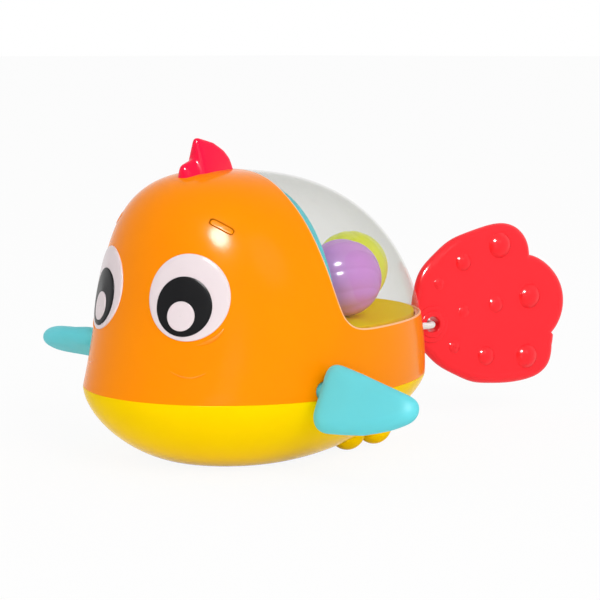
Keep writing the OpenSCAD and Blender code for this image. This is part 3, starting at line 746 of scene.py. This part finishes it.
class BATHTOY_OT_dome(bpy.types.Operator):
    """Model the clear dome over the ball chamber, with a pale tube round its edge as a painted highlight"""

    bl_idname = "bath_toy.dome"
    bl_label = "Clear Dome"

    def execute(self, context):
        sizes = context.scene.bath_toy_sizes
        play = 0.0006
        inset = 0.0002

        def place(u, v):
            return body_at(sizes, pole_q().lerp(edge_q(sizes, u, -play / sizes.crown_h), v), inset)

        bm = walled(sheet(240, 40, place), sizes.dome_wall, sizes.dome_wall / 4)
        make_piece(context, "dome_moulding", bm, "clear_plastic", "body", ["clear_dome"])
        # A pale tube in the joint round the dome's edge, painted as the highlight of the shell's rounded rim
        make_piece(context, "dome_bead", self.rim_highlight(sizes), "clear_plastic", "body", finish="dome_bead")
        return {"FINISHED"}

    def rim_highlight(self, sizes, radius=0.0004, sink=0.9, step=0.002):
        """A pale tube along the dome's edge, flush with the body in the joint round the opening: a painted
        highlight of the shell's rounded rim.
        """
        def place(u, v):
            q = edge_q(sizes, u)
            out = body_out(sizes, q)
            along = body_at(sizes, edge_q(sizes, u + step)) - body_at(sizes, edge_q(sizes, u - step))
            side = along.cross(out).normalized()
            return body_at(sizes, q) + radius * (
                math.cos(TURN * v) * side + (math.sin(TURN * v) - sink) * out)
        return sheet(240, 12, place)


class BATHTOY_OT_chamber(bpy.types.Operator):
    """Round the edges of the chamber wall, the ball tray and the cord guide"""

    bl_idname = "bath_toy.chamber"
    bl_label = "Ball Chamber"

    def execute(self, context):
        guide = bevelled_copy("cord_grommet")
        make_piece(context, "cord_guide", guide, "white_plastic", "body", ["cord_grommet"])
        wall = self.raised(bevelled_copy("chamber_wall"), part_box("chamber_wall"))
        make_piece(context, "chamber_wall_moulding", wall, "teal_plastic", "body", ["chamber_wall"])
        tray = self.spread(bevelled_copy("ball_tray"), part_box("ball_tray"))
        make_piece(context, "ball_tray_moulding", tray, "yellow_plastic", "body", ["ball_tray"],
                   finish="ball_tray")
        return {"FINISHED"}

    def raised(self, bm, box, more=0.0013, back=0.0003):
        """Widens and heightens the chamber wall, up to the shell's wall, and sets it a little back."""
        low, high = box
        for vert in bm.verts:
            upward = (vert.co.z - low.z) / (high.z - low.z)
            vert.co += Vector((more * vert.co.x / high.x, back, more * upward))
        return bm

    def spread(self, bm, box, more=0.0017, flare=4):
        """Widens the tray towards the rear and the sides, up to the shell's wall."""
        low, high = box
        for vert in bm.verts:
            rearward = (vert.co.y - low.y) / (high.y - low.y)
            vert.co.x *= 1 + more / high.x * min(flare * rearward, 1)
            vert.co.y += more * rearward * rearward
        return bm


# Balls of the crest's ridge and front lobe: place along and height. Their feet: place along and across
CREST_RIDGE_SHARES = ((0.706, 0.895), (0.416, 0.734), (0.229, 0.503), (0.128, 0.283), (0.058, -0.051))
CREST_LOBE_SHARES = ((0.929, 0.048), (0.75, 0.2))
CREST_FEET_SHARES = ((0.708, 0.403), (0.034, 0.0))
LOBE_FEET_SHARES = ((0.939, 0.202), (0.742, 0.355))
CREST_TIP_R = 0.0014
CREST_LOBE_R = 0.0021
CREST_ROOT = 0.0055
CREST_VOXEL = 0.0003
CREST_PASSES = 28


class BATHTOY_OT_crest(bpy.types.Operator):
    """Model the crest: a wedge with a low lobe in front, seated on the head"""

    bl_idname = "bath_toy.crest"
    bl_label = "Crest"

    def execute(self, context):
        sizes = context.scene.bath_toy_sizes
        wedge = self.wedge(sizes, CREST_RIDGE_SHARES, CREST_TIP_R, CREST_FEET_SHARES)
        lobe = self.wedge(sizes, CREST_LOBE_SHARES, CREST_LOBE_R, LOBE_FEET_SHARES)
        bm = melted(combine(wedge, lobe, "UNION"), CREST_VOXEL, CREST_PASSES)
        bm = combine(bm, self.head(sizes), "DIFFERENCE")
        make_piece(context, "crest_moulding", bm, "crimson_plastic", "body", ["crest"])
        return {"FINISHED"}

    def wedge(self, sizes, ridge, radius, feet):
        """A skin from the balls of a ridge down to the balls of its feet."""
        crown = sizes.seam_z + sizes.crown_h

        def along(share):
            return -sizes.crest_back - share * sizes.crest_len

        balls = [(Vector((0, along(y), crown + up * sizes.crest_h)), radius) for y, up in ridge]
        for y, across in feet:
            for side in (-1, 1):
                foot = Vector((side * across * sizes.crest_w, along(y), crown - CREST_ROOT))
                balls.append((foot, CREST_TIP_R))
        return wrapped(balls)

    def head(self, sizes, inset=0.0003):
        """The head just under its face, as a closed shape."""
        bm = sheet(120, 60, lambda u, v: body_at(sizes, v * seam_q(u), inset))
        bmesh.ops.holes_fill(bm, edges=[e for e in bm.edges if e.is_boundary], sides=0)
        bmesh.ops.recalc_face_normals(bm, faces=bm.faces)
        return bm


# Middle of the left eye on the chart, as shares of a quarter turn
EYE_SHARES = (0.322, 0.676)

# Discs of an eye: place down and ahead of its middle, lower face, and upper face over the rise of an eye
EYE_DISCS = {"white": (0.0, 0.0, -0.0006, 0.0), "pupil": (0.0031, 0.001, 0.0003, 0.0003),
             "glint": (0.0063, 0.0016, 0.0005, 0.0006)}


class BATHTOY_OT_eyes(bpy.types.Operator):
    """Model the eyes as thin discs that follow the head"""

    bl_idname = "bath_toy.eyes"
    bl_label = "Eyes"

    def execute(self, context):
        sizes = context.scene.bath_toy_sizes
        tree = head_tree(sizes)
        q = QUARTER * Vector(EYE_SHARES)
        middle = body_at(sizes, q)
        out = body_out(sizes, q)
        down = Vector((out.x * out.z, out.y * out.z, out.z * out.z - 1)).normalized()
        fore = down.cross(out)
        diameters = {"white": sizes.eye_d, "pupil": sizes.pupil_d, "glint": sizes.glint_d}
        for word in SIDES:
            for name, (drop, ahead, low, over) in EYE_DISCS.items():
                centre = middle + down * drop + fore * ahead
                bm = pad(tree, centre, out, down, fore, lambda turn: self.rim(diameters[name] / 2, turn),
                         low, sizes.eye_rise + over)
                node = {"white": f"{word}_eye", "pupil": f"{word}_pupil"}.get(name)
                slot = "black_plastic" if name == "pupil" else "white_plastic"
                make_piece(context, f"{word}_eye_{name}", on_side(bm, word), slot, "body",
                           [node] if node else [])
        return {"FINISHED"}

    def rim(self, radius, turn):
        """A round outline."""
        return radius * math.cos(turn), radius * math.sin(turn)


# Moulded lines on the head by their places on the chart, as shares of a quarter turn
CHEEK_POINTS = ((0.4426, 0.7624), (0.51, 0.7), (0.5389, 0.6381))
SMILE_POINTS = ((0.3323, 0.8815), (0.4561, 0.8404), (0.5469, 0.7686))

# Half width and rise of these lines
CHEEK_SIZE = (0.0007, 0.0004)
SMILE_SIZE = (0.0003, 0.00018)


class BATHTOY_OT_marks(bpy.types.Operator):
    """Model the low moulded marks on both sides of the head"""

    bl_idname = "bath_toy.marks"
    bl_label = "Head Marks"

    def execute(self, context):
        sizes = context.scene.bath_toy_sizes
        tree = head_tree(sizes)
        for word in SIDES:
            marks = {"bar": bar_pad(sizes, tree, BAR_HALF_WIDTH, -BAR_ROOT, BAR_RISE),
                     "cheek_ridge": self.ridge(sizes, CHEEK_POINTS, *CHEEK_SIZE),
                     "smile": self.ridge(sizes, SMILE_POINTS, *SMILE_SIZE)}
            for name, bm in marks.items():
                make_piece(context, f"{word}_{name}", on_side(bm, word), "orange_plastic", "body",
                           finish=None if name == "bar" else "head_ridge")
        return {"FINISHED"}

    def ridge(self, sizes, points, half_width, rise, fade=0.7, step=0.001):
        """A thin ridge along a curve through three points, fading out at its ends."""
        start, middle, end = (QUARTER * Vector(point) for point in points)
        bend = 2 * middle - (start + end) / 2

        def place(u, v):
            q = (1 - v) ** 2 * start + 2 * v * (1 - v) * bend + v * v * end
            along = (1 - v) * (bend - start) + v * (end - bend)
            out = body_out(sizes, q)
            way = body_at(sizes, q + step * along) - body_at(sizes, q - step * along)
            side = way.cross(out).normalized()
            size = math.sin(math.pi * v) ** fade if 0 < v < 1 else 0
            return body_at(sizes, q) + size * (
                half_width * math.cos(TURN * u) * side + rise * math.sin(TURN * u) * out)
        return sheet(16, 48, place)


# Circles that a fin's leaf is drawn round: place out from the hub's face, place up and radius, as shares
LEAF_SHARES = ((0.008, 0.228, 0.155), (0.082, -0.345, 0.276), (0.459, -0.211, 0.353), (0.709, -0.155, 0.284))
LEAF_TIP_R = 0.0044
LEAF_TIP_SHARE = -0.108
LEAF_OFF_SHARE = 0.4
LEAF_MIDDLE_SHARES = (0.4, -0.18)
LEAF_CROWN = 0.16
HUB_EDGE_R = 0.0011


def hull_reach(circles, origin, ray, steps=180):
    """How far a ray from origin runs to the far side of the outline round circles, or 0 if it misses."""
    far, near = 1.0, 0.0
    for k in range(steps):
        side = Vector((math.cos(TURN * k / steps), math.sin(TURN * k / steps)))
        room = max(c.dot(side) + r for c, r in circles) - origin.dot(side)
        slope = ray.dot(side)
        if slope > TINY:
            far = min(far, room / slope)
        elif slope < -TINY:
            near = max(near, room / slope)
        elif room < 0:
            return 0.0
    return far if near <= far else 0.0


def evened(values, reach):
    """Lengths round a middle, averaged twice with their neighbours so that straight sides stay straight."""
    count = len(values)
    offsets = range(-reach, reach + 1)
    for _ in range(2):
        rows = [[values[(k + j) % count] for j in offsets if values[(k + j) % count]]
                for k in range(count)]
        values = [sum(row) / len(row) if value else 0 for value, row in zip(values, rows)]
    bulge = reach * (reach + 1) / 3 * (TURN / count) ** 2
    return [value * (1 - bulge) for value in values]


# How full the crowned faces of a plate are
CROWN_FULLNESS = 1.5


def plate(lobes, middle, half, shoulder, crown, soften, columns=240, rows=40):
    """A closed plate in the shape of its lobes: round shoulders, and faces that rise by crown."""
    turns = [TURN * k / columns for k in range(columns)]
    rays = [Vector((math.cos(turn), math.sin(turn))) for turn in turns]
    rims = [max(reach) for reach in zip(*(
        evened([hull_reach(lobe, middle, ray) for ray in rays], soften) for lobe in lobes))]

    def place(u, v):
        k = round(u * columns) % columns
        step = abs(2 * v - 1)
        turn = QUARTER * min(2 * step, 1)
        inner = max(2 * step - 1, 0)
        out = (rims[k] - shoulder * (1 - math.cos(turn))) * (1 - inner)
        rise = (1 - crown) * math.sin(turn) + crown * math.sin(QUARTER * step) ** CROWN_FULLNESS
        point = middle + rays[k] * out
        return Vector((point.x, point.y, math.copysign(half * rise, v - 0.5)))
    return sheet(columns, rows, place)


class BATHTOY_OT_fins(bpy.types.Operator):
    """Model the paddle fins: a pillow-shaped leaf on a round hub"""

    bl_idname = "bath_toy.fins"
    bl_label = "Fins"

    def execute(self, context):
        sizes = context.scene.bath_toy_sizes
        for word, side, phase in (("left", 1, sizes.left_phase), ("right", -1, sizes.right_phase)):
            low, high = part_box(f"{word}_fin")
            inner, tip = sorted((abs(low.x), abs(high.x)))
            bm = combine(self.blade(sizes, tip), self.hub(sizes, inner), "UNION")
            bmesh.ops.rotate(bm, verts=bm.verts, cent=(0, 0, 0), matrix=Matrix.Rotation(phase, 3, "X"))
            bmesh.ops.scale(bm, vec=(side, 1, 1), verts=bm.verts)
            bmesh.ops.translate(bm, verts=bm.verts, vec=FIN_AXIS)
            bmesh.ops.recalc_face_normals(bm, faces=bm.faces)
            make_piece(context, f"{word}_paddle", bm, "teal_plastic", "fins", [f"{word}_fin"])
        return {"FINISHED"}

    def blade(self, sizes, tip):
        """The leaf, flat on X and Z, with full round edges."""
        face = self.hub_face(sizes)
        leaf = [(Vector((face + x * (tip - face), z * sizes.fin_chord)), r * sizes.fin_chord)
                for x, z, r in LEAF_SHARES]
        leaf.append((Vector((tip - LEAF_TIP_R, LEAF_TIP_SHARE * sizes.fin_chord)), LEAF_TIP_R))
        along, up = LEAF_MIDDLE_SHARES
        middle = Vector((face + along * (tip - face), up * sizes.fin_chord))
        bm = plate([leaf], middle, sizes.fin_t / 2, sizes.fin_shoulder, crown=LEAF_CROWN, soften=2)
        bmesh.ops.rotate(bm, verts=bm.verts, cent=(0, 0, 0), matrix=Matrix.Rotation(QUARTER, 3, "X"))
        bmesh.ops.translate(bm, verts=bm.verts, vec=(0, -LEAF_OFF_SHARE * sizes.fin_t, 0))
        return bm

    def hub(self, sizes, inner):
        """The round hub, with rounded rims."""
        bm = rod(sizes.hub_d / 2, Vector((inner, 0, 0)), Vector((self.hub_face(sizes), 0, 0)))
        round_sharp(bm, CORNER, HUB_EDGE_R, 4)
        return bm

    def hub_face(self, sizes, stand=0.004):
        """Place of a hub's outer face."""
        return sizes.body_w / 2 + stand


# Lobes of the tail plate as circles, and its bumps: place along, place up and radius, as shares of its length
LOBE_SHARES = (
    ((0, 0, 0.134), (0.047, 0.244, 0.138), (0.209, 0.375, 0.143), (0.424, 0.435, 0.143), (0.514, 0.394, 0.2)),
    ((0, 0, 0.134), (0.65, 0.094, 0.302), (0.7, 0.088, 0.272)),
    ((0, 0, 0.134), (0.145, -0.143, 0.143), (0.35, -0.245, 0.143), (0.575, -0.259, 0.143),
     (0.734, -0.223, 0.159)),
)
BUMP_SHARES = ((0.476, 0.456, 0.078), (0.219, 0.365, 0.054), (0.05, 0.242, 0.036),
               (0.694, 0.133, 0.076), (0.453, 0.094, 0.051), (0.224, 0.063, 0.038),
               (0.679, -0.237, 0.076), (0.386, -0.218, 0.06), (0.16, -0.149, 0.038))
TAIL_MIDDLE_SHARES = (0.4, 0.07)

# Ring and collar round the eyelet: radius, rise over the plate, rounding and its steps
EYELET_RING = (0.0052, 0.0012, 0.0009, 4)
EYELET_COLLAR = (0.007, 0.0005, 0.0004, 3)
EYELET_EDGE_R = 0.0004
EYELET_CORNER = math.radians(60)
TAIL_CREASE = math.radians(30)


def tail_matrix():
    """Stands a shape at the eyelet: X along the tail, Y up and Z out of the plate's face."""
    out = Vector(JOINTS["tail_tilt"]["axis"]).normalized()
    up = Vector((0, 0, 1))
    turn = Matrix((up.cross(out), up, out)).transposed().to_4x4()
    return Matrix.Translation(EYELET) @ turn


class BATHTOY_OT_tail(bpy.types.Operator):
    """Model the tail plate with its lobes, bumps and eyelet"""

    bl_idname = "bath_toy.tail"
    bl_label = "Tail"

    def execute(self, context):
        sizes = context.scene.bath_toy_sizes
        bm = combine(self.outline(sizes), self.raised(sizes), "UNION")
        deep = Vector((0, 0, 2 * sizes.tail_t))
        bm = combine(bm, rod(sizes.eyelet_d / 2, -deep, deep), "DIFFERENCE")
        rim = [e for e in sharp_edges(bm, EYELET_CORNER) if self.on_eyelet(e, sizes)]
        round_edges(bm, rim, EYELET_EDGE_R)
        bmesh.ops.transform(bm, matrix=tail_matrix(), verts=bm.verts)
        make_piece(context, "tail_moulding", bm, "red_plastic", "tail", ["tail_fin"], TAIL_CREASE)
        return {"FINISHED"}

    def on_eyelet(self, edge, sizes, near=1e-5):
        """True on the rim of the eyelet's hole."""
        return all(abs(v.co.xy.length - sizes.eyelet_d / 2) < near for v in edge.verts)

    def outline(self, sizes):
        """The plate, flat but for its rounded shoulders."""
        lobes = [[(sizes.tail_len * Vector((x, y)), sizes.tail_len * r) for x, y, r in lobe]
                 for lobe in LOBE_SHARES]
        middle = sizes.tail_len * Vector(TAIL_MIDDLE_SHARES)
        return plate(lobes, middle, sizes.tail_t / 2, sizes.tail_shoulder, crown=0, soften=6, columns=320)

    def raised(self, sizes):
        """Bumps through both faces, and the ring round the eyelet."""
        bm = bmesh.new()
        for x, y, r in BUMP_SHARES:
            radius = math.hypot(sizes.tail_len * r, sizes.tail_t / 2)
            add_ball(bm, Vector((sizes.tail_len * x, sizes.tail_len * y, 0)), radius, rings=32)
        ring, collar = (self.washer(sizes, *form) for form in (EYELET_RING, EYELET_COLLAR))
        return combine(bm, combine(ring, collar, "UNION"), "UNION")

    def washer(self, sizes, radius, rise, edge_r, segments):
        """A disc at the eyelet that stands out of both faces of the plate."""
        end = Vector((0, 0, sizes.tail_t / 2 + rise))
        bm = rod(radius, -end, end)
        round_sharp(bm, CORNER, edge_r, segments)
        return bm


# Loop of cord through the eyelet: half sizes along and across the tail, and how square it and its knot are
LOOP_HALF_ALONG = 0.0064
LOOP_HALF_ACROSS = 0.00565
LOOP_IN = 0.0002
LOOP_POWER = 3
KNOT_POWER = 16
STRANDS = 4
STRAND_DEPTH = 0.07

# Turns of the strands: in a metre of the pull cord, round the loop and in the knot, in radians
PULL_LAY = 900
LOOP_LAY = 4
KNOT_LAY = 3


class BATHTOY_OT_cord(bpy.types.Operator):
    """Model the pull cord and the knotted loop as laid strands"""

    bl_idname = "bath_toy.cord"
    bl_label = "Cord and Loop"

    def execute(self, context):
        sizes = context.scene.bath_toy_sizes
        self.pull(context, sizes)
        self.loop(context, sizes)
        return {"FINISHED"}

    def strand(self, turn, lay):
        """Share of the cord's radius at a turn round it, with the strands laid by lay."""
        return 1 - STRAND_DEPTH * (1 - abs(math.cos(STRANDS / 2 * TURN * turn + lay)))

    def pull(self, context, sizes):
        """Straight cord, which stretches out of the body behind its guide."""
        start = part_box("pull_cord")[0].y
        end = KNOT.y - sizes.knot_d / 4

        def place(u, v):
            y = start + (end - start) * v
            r = sizes.cord_d / 2 * self.strand(u, PULL_LAY * y)
            if v in (0, 1):
                r = 0
            return Vector((r * math.cos(TURN * u), y, KNOT.z + r * math.sin(TURN * u)))

        bm = sheet(24, 120, place)
        obj = make_piece(context, "pull_cord_braid", bm, "cord", None, ["pull_cord"])
        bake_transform(obj)

    def loop(self, context, sizes, columns=24, rows=160, step=0.02):
        """Closed loop of cord that swells to its knot."""
        def middle(turn):
            along = LOOP_HALF_ALONG * signed_power(math.cos(turn), 2 / LOOP_POWER)
            across = LOOP_HALF_ACROSS * signed_power(math.sin(turn), 2 / LOOP_POWER)
            return Vector((LOOP_IN - LOOP_HALF_ALONG + along, 0, across))

        def place(u, v):
            turn = TURN * (v + 0.5 / rows)
            along = (middle(turn + step) - middle(turn - step)).normalized()
            side = Vector((along.z, 0, -along.x))
            swell = max(-math.cos(turn), 0) ** KNOT_POWER
            r = sizes.cord_d / 2 + (sizes.knot_d - sizes.cord_d) / 2 * swell
            r *= self.strand(u, LOOP_LAY * turn + KNOT_LAY * swell)
            return middle(turn) + r * (side * math.cos(TURN * u) + Vector((0, math.sin(TURN * u), 0)))

        bm = sheet(columns, rows, place)
        bmesh.ops.transform(bm, matrix=tail_matrix(), verts=bm.verts)
        make_piece(context, "cord_loop_braid", bm, "cord", "loop", ["cord_loop"])


# Finish of each ball, and the axis that its ridges swirl round
BALLS = {"purple_ball": ("purple_plastic", (0.66, 0.64, -0.4)),
         "lime_ball": ("lime_plastic", (-0.4, 0.3, 0.86))}


class BATHTOY_OT_balls(bpy.types.Operator):
    """Model the loose balls with their swirled ridges"""

    bl_idname = "bath_toy.balls"
    bl_label = "Balls"

    def execute(self, context):
        for name, (slot, axis) in BALLS.items():
            low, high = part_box(name)
            middle = (low + high) / 2
            bm = self.ball((high.z - low.z) / 2)
            turn = Vector(axis).to_track_quat("Z", "Y").to_matrix().to_4x4()
            bmesh.ops.transform(bm, matrix=Matrix.Translation(middle) @ turn, verts=bm.verts)
            make_piece(context, f"{name}_moulding", bm, slot, name, [name])
        return {"FINISHED"}

    def ball(self, radius, ridges=9, depth=0.035, twist=0.7, fade_power=0.8, wave_power=0.7):
        """A ball whose ridges swirl from pole to pole."""
        def place(u, v):
            tilt = math.pi * (v - 0.5)
            fade = math.cos(tilt) ** fade_power if 0 < v < 1 else 0
            wave = abs(math.sin(ridges / 2 * (TURN * u + twist * math.sin(tilt)))) ** wave_power
            r = radius * (1 - depth * fade * (1 - wave))
            across = math.cos(tilt)
            return r * Vector((across * math.cos(TURN * u), across * math.sin(TURN * u), math.sin(tilt)))
        return sheet(168, 72, place)


# Solids of the drive that stay as they are, by the finish that they get
DRIVE_SLOTS = {
    "frame_plastic": ("chassis", "left_gear_plate", "right_gear_plate", "cord_drum",
                      *(f"plate_spacer_{k}" for k in (1, 2, 3))),
    "gear_plastic": ("drum_gear", "idler_gear", "fin_pinion"),
    "steel": ("idler_axle", "mainspring", "ballast_weight", "drum_shaft", "fin_shaft",
              *(f"plate_bolt_{k}" for k in (1, 2, 3)), *(f"chassis_screw_{k}" for k in (1, 2, 3, 4))),
    "brass": ("left_fin_bush", "right_fin_bush"),
    "cord": ("cord_winding",),
}


class BATHTOY_OT_drive(bpy.types.Operator):
    """Paint the drive inside the body"""

    bl_idname = "bath_toy.drive"
    bl_label = "Drive"

    def execute(self, context):
        for slot, nodes in DRIVE_SLOTS.items():
            for node in nodes:
                frame["nodes"][node].material_slots[0].material = finish_of(context, slot)
        return {"FINISHED"}


# Lamps: place, diameter and the kind of light that they don't give
LAMPS = {
    "key": ((1.3, -0.35, 0.95), 0.8, "glossy"),
    "fill": ((0.45, -0.5, 0.03), 0.25, "glossy"),
    "glint": ((0.52, -0.91, 0.94), 0.36, "diffuse"),
}
FLOOR_GLOW = 0.92
FLOOR_GREY = (0.9, 0.9, 0.9, 1)
WHITE = (1, 1, 1, 1)
SENSOR_MM = 36


class BATHTOY_OT_stage(bpy.types.Operator):
    """Set up the floor, the lights and the camera"""

    bl_idname = "bath_toy.stage"
    bl_label = "Stage"

    def execute(self, context):
        stage = context.scene.bath_toy_stage
        context.scene.view_settings.view_transform = "Standard"
        self.floor()
        self.sky(context, stage)
        for name in LAMPS:
            self.lamp(context, stage, name)
        self.camera(context, stage)
        return {"FINISHED"}

    def floor(self, reach=30.0):
        """Pale floor that stays white in the picture and keeps the toy's shadow."""
        bm = bmesh.new()
        bmesh.ops.create_grid(bm, x_segments=1, y_segments=1, size=reach)
        obj = loose_object(bm, "floor")
        paint = Paint(bpy.data.materials.new("floor_white"))
        seen = self.seen(paint)
        matt = paint.add("ShaderNodeBsdfDiffuse", {}, {"Color": FLOOR_GREY})
        glow = paint.add("ShaderNodeEmission", {}, {"Color": WHITE, "Strength": 1.0})
        both = paint.add("ShaderNodeMixShader", {}, {0: FLOOR_GLOW * seen, 1: matt, 2: glow})
        obj.data.materials.append(paint.show(both))

    def seen(self, paint):
        """1 for what the camera sees, straight, in a gloss or through a clear wall."""
        rays = [paint.add("ShaderNodeLightPath", out=f"Is {kind} Ray")
                for kind in ("Camera", "Glossy", "Transmission")]
        return paint.add("ShaderNodeMath", {"operation": "MINIMUM"}, {0: rays[0] + rays[1] + rays[2], 1: 1.0})

    def sky(self, context, stage):
        """Even white light, and a white background."""
        paint = Paint(bpy.data.worlds.new("white_room"), "ShaderNodeOutputWorld")
        strength = stage.sky + (1 - stage.sky) * self.seen(paint)
        context.scene.world = paint.show(
            paint.add("ShaderNodeBackground", {}, {"Color": WHITE, "Strength": strength}))

    def lamp(self, context, stage, name):
        """A soft round lamp aimed at the toy."""
        place, size, lacking = LAMPS[name]
        light = bpy.data.lights.new(f"{name}_lamp", "AREA")
        light.shape = "DISK"
        light.size = size
        light.energy = getattr(stage, name)
        obj = bpy.data.objects.new(f"{name}_lamp", light)
        context.scene.collection.objects.link(obj)
        obj.location = place
        aim = Vector((0, 0, stage.middle_z)) - obj.location
        obj.rotation_euler = aim.to_track_quat("-Z", "Y").to_euler()
        obj.visible_camera = False
        setattr(obj, f"visible_{lacking}", False)

    def camera(self, context, stage):
        """Camera at the photograph's place, turned so that the toy lies where the photograph has it."""
        data = bpy.data.cameras.new("camera")
        data.sensor_width = SENSOR_MM
        data.lens = SENSOR_MM * stage.focal / stage.image_px
        obj = bpy.data.objects.new("camera", data)
        context.scene.collection.objects.link(obj)
        a, e = stage.azimuth, stage.elevation
        back = Vector((math.sin(a) * math.cos(e), -math.cos(a) * math.cos(e), math.sin(e)))
        right = Vector((math.cos(a), math.sin(a), 0))
        up = back.cross(right)
        obj.location = Vector((0, 0, stage.middle_z)) + stage.distance * back
        offset = Vector((stage.image_px / 2 - stage.middle_px[0], stage.middle_px[1] - stage.image_px / 2))
        aim = -back * stage.focal + right * offset.x + up * offset.y
        obj.rotation_euler = aim.to_track_quat("-Z", "Y").to_euler()
        context.scene.camera = obj


STEPS = (
    BATHTOY_OT_stage, BATHTOY_OT_shell, BATHTOY_OT_hull, BATHTOY_OT_dome, BATHTOY_OT_chamber,
    BATHTOY_OT_crest, BATHTOY_OT_eyes, BATHTOY_OT_marks, BATHTOY_OT_fins, BATHTOY_OT_tail,
    BATHTOY_OT_cord, BATHTOY_OT_balls, BATHTOY_OT_drive,
)


class BATHTOY_PT_panel(bpy.types.Panel):
    """Lists the toy's pieces in the sidebar"""

    bl_idname = "BATHTOY_PT_panel"
    bl_label = "Bath Toy"
    bl_space_type = "VIEW_3D"
    bl_region_type = "UI"
    bl_category = "Bath Toy"

    def draw(self, context):
        for step in STEPS:
            self.layout.operator(step.bl_idname)


GROUPS = {"bath_toy_sizes": ToySizes, "bath_toy_colours": ToyColours, "bath_toy_stage": StageSettings}


def register():
    """Registers the settings, the operators and the panel."""
    for group in GROUPS.values():
        bpy.utils.register_class(group)
    for name, group in GROUPS.items():
        setattr(bpy.types.Scene, name, bpy.props.PointerProperty(type=group))
    for item in (*STEPS, BATHTOY_PT_panel):
        bpy.utils.register_class(item)


def unregister():
    """Takes them away again."""
    for item in (BATHTOY_PT_panel, *reversed(STEPS)):
        bpy.utils.unregister_class(item)
    for name in GROUPS:
        delattr(bpy.types.Scene, name)
    for group in reversed(GROUPS.values()):
        bpy.utils.unregister_class(group)


def main():
    """Makes every piece in order."""
    register()
    for step in STEPS:
        family, name = step.bl_idname.split(".")
        getattr(getattr(bpy.ops, family), name)()


if __name__ == "__main__":
    main()
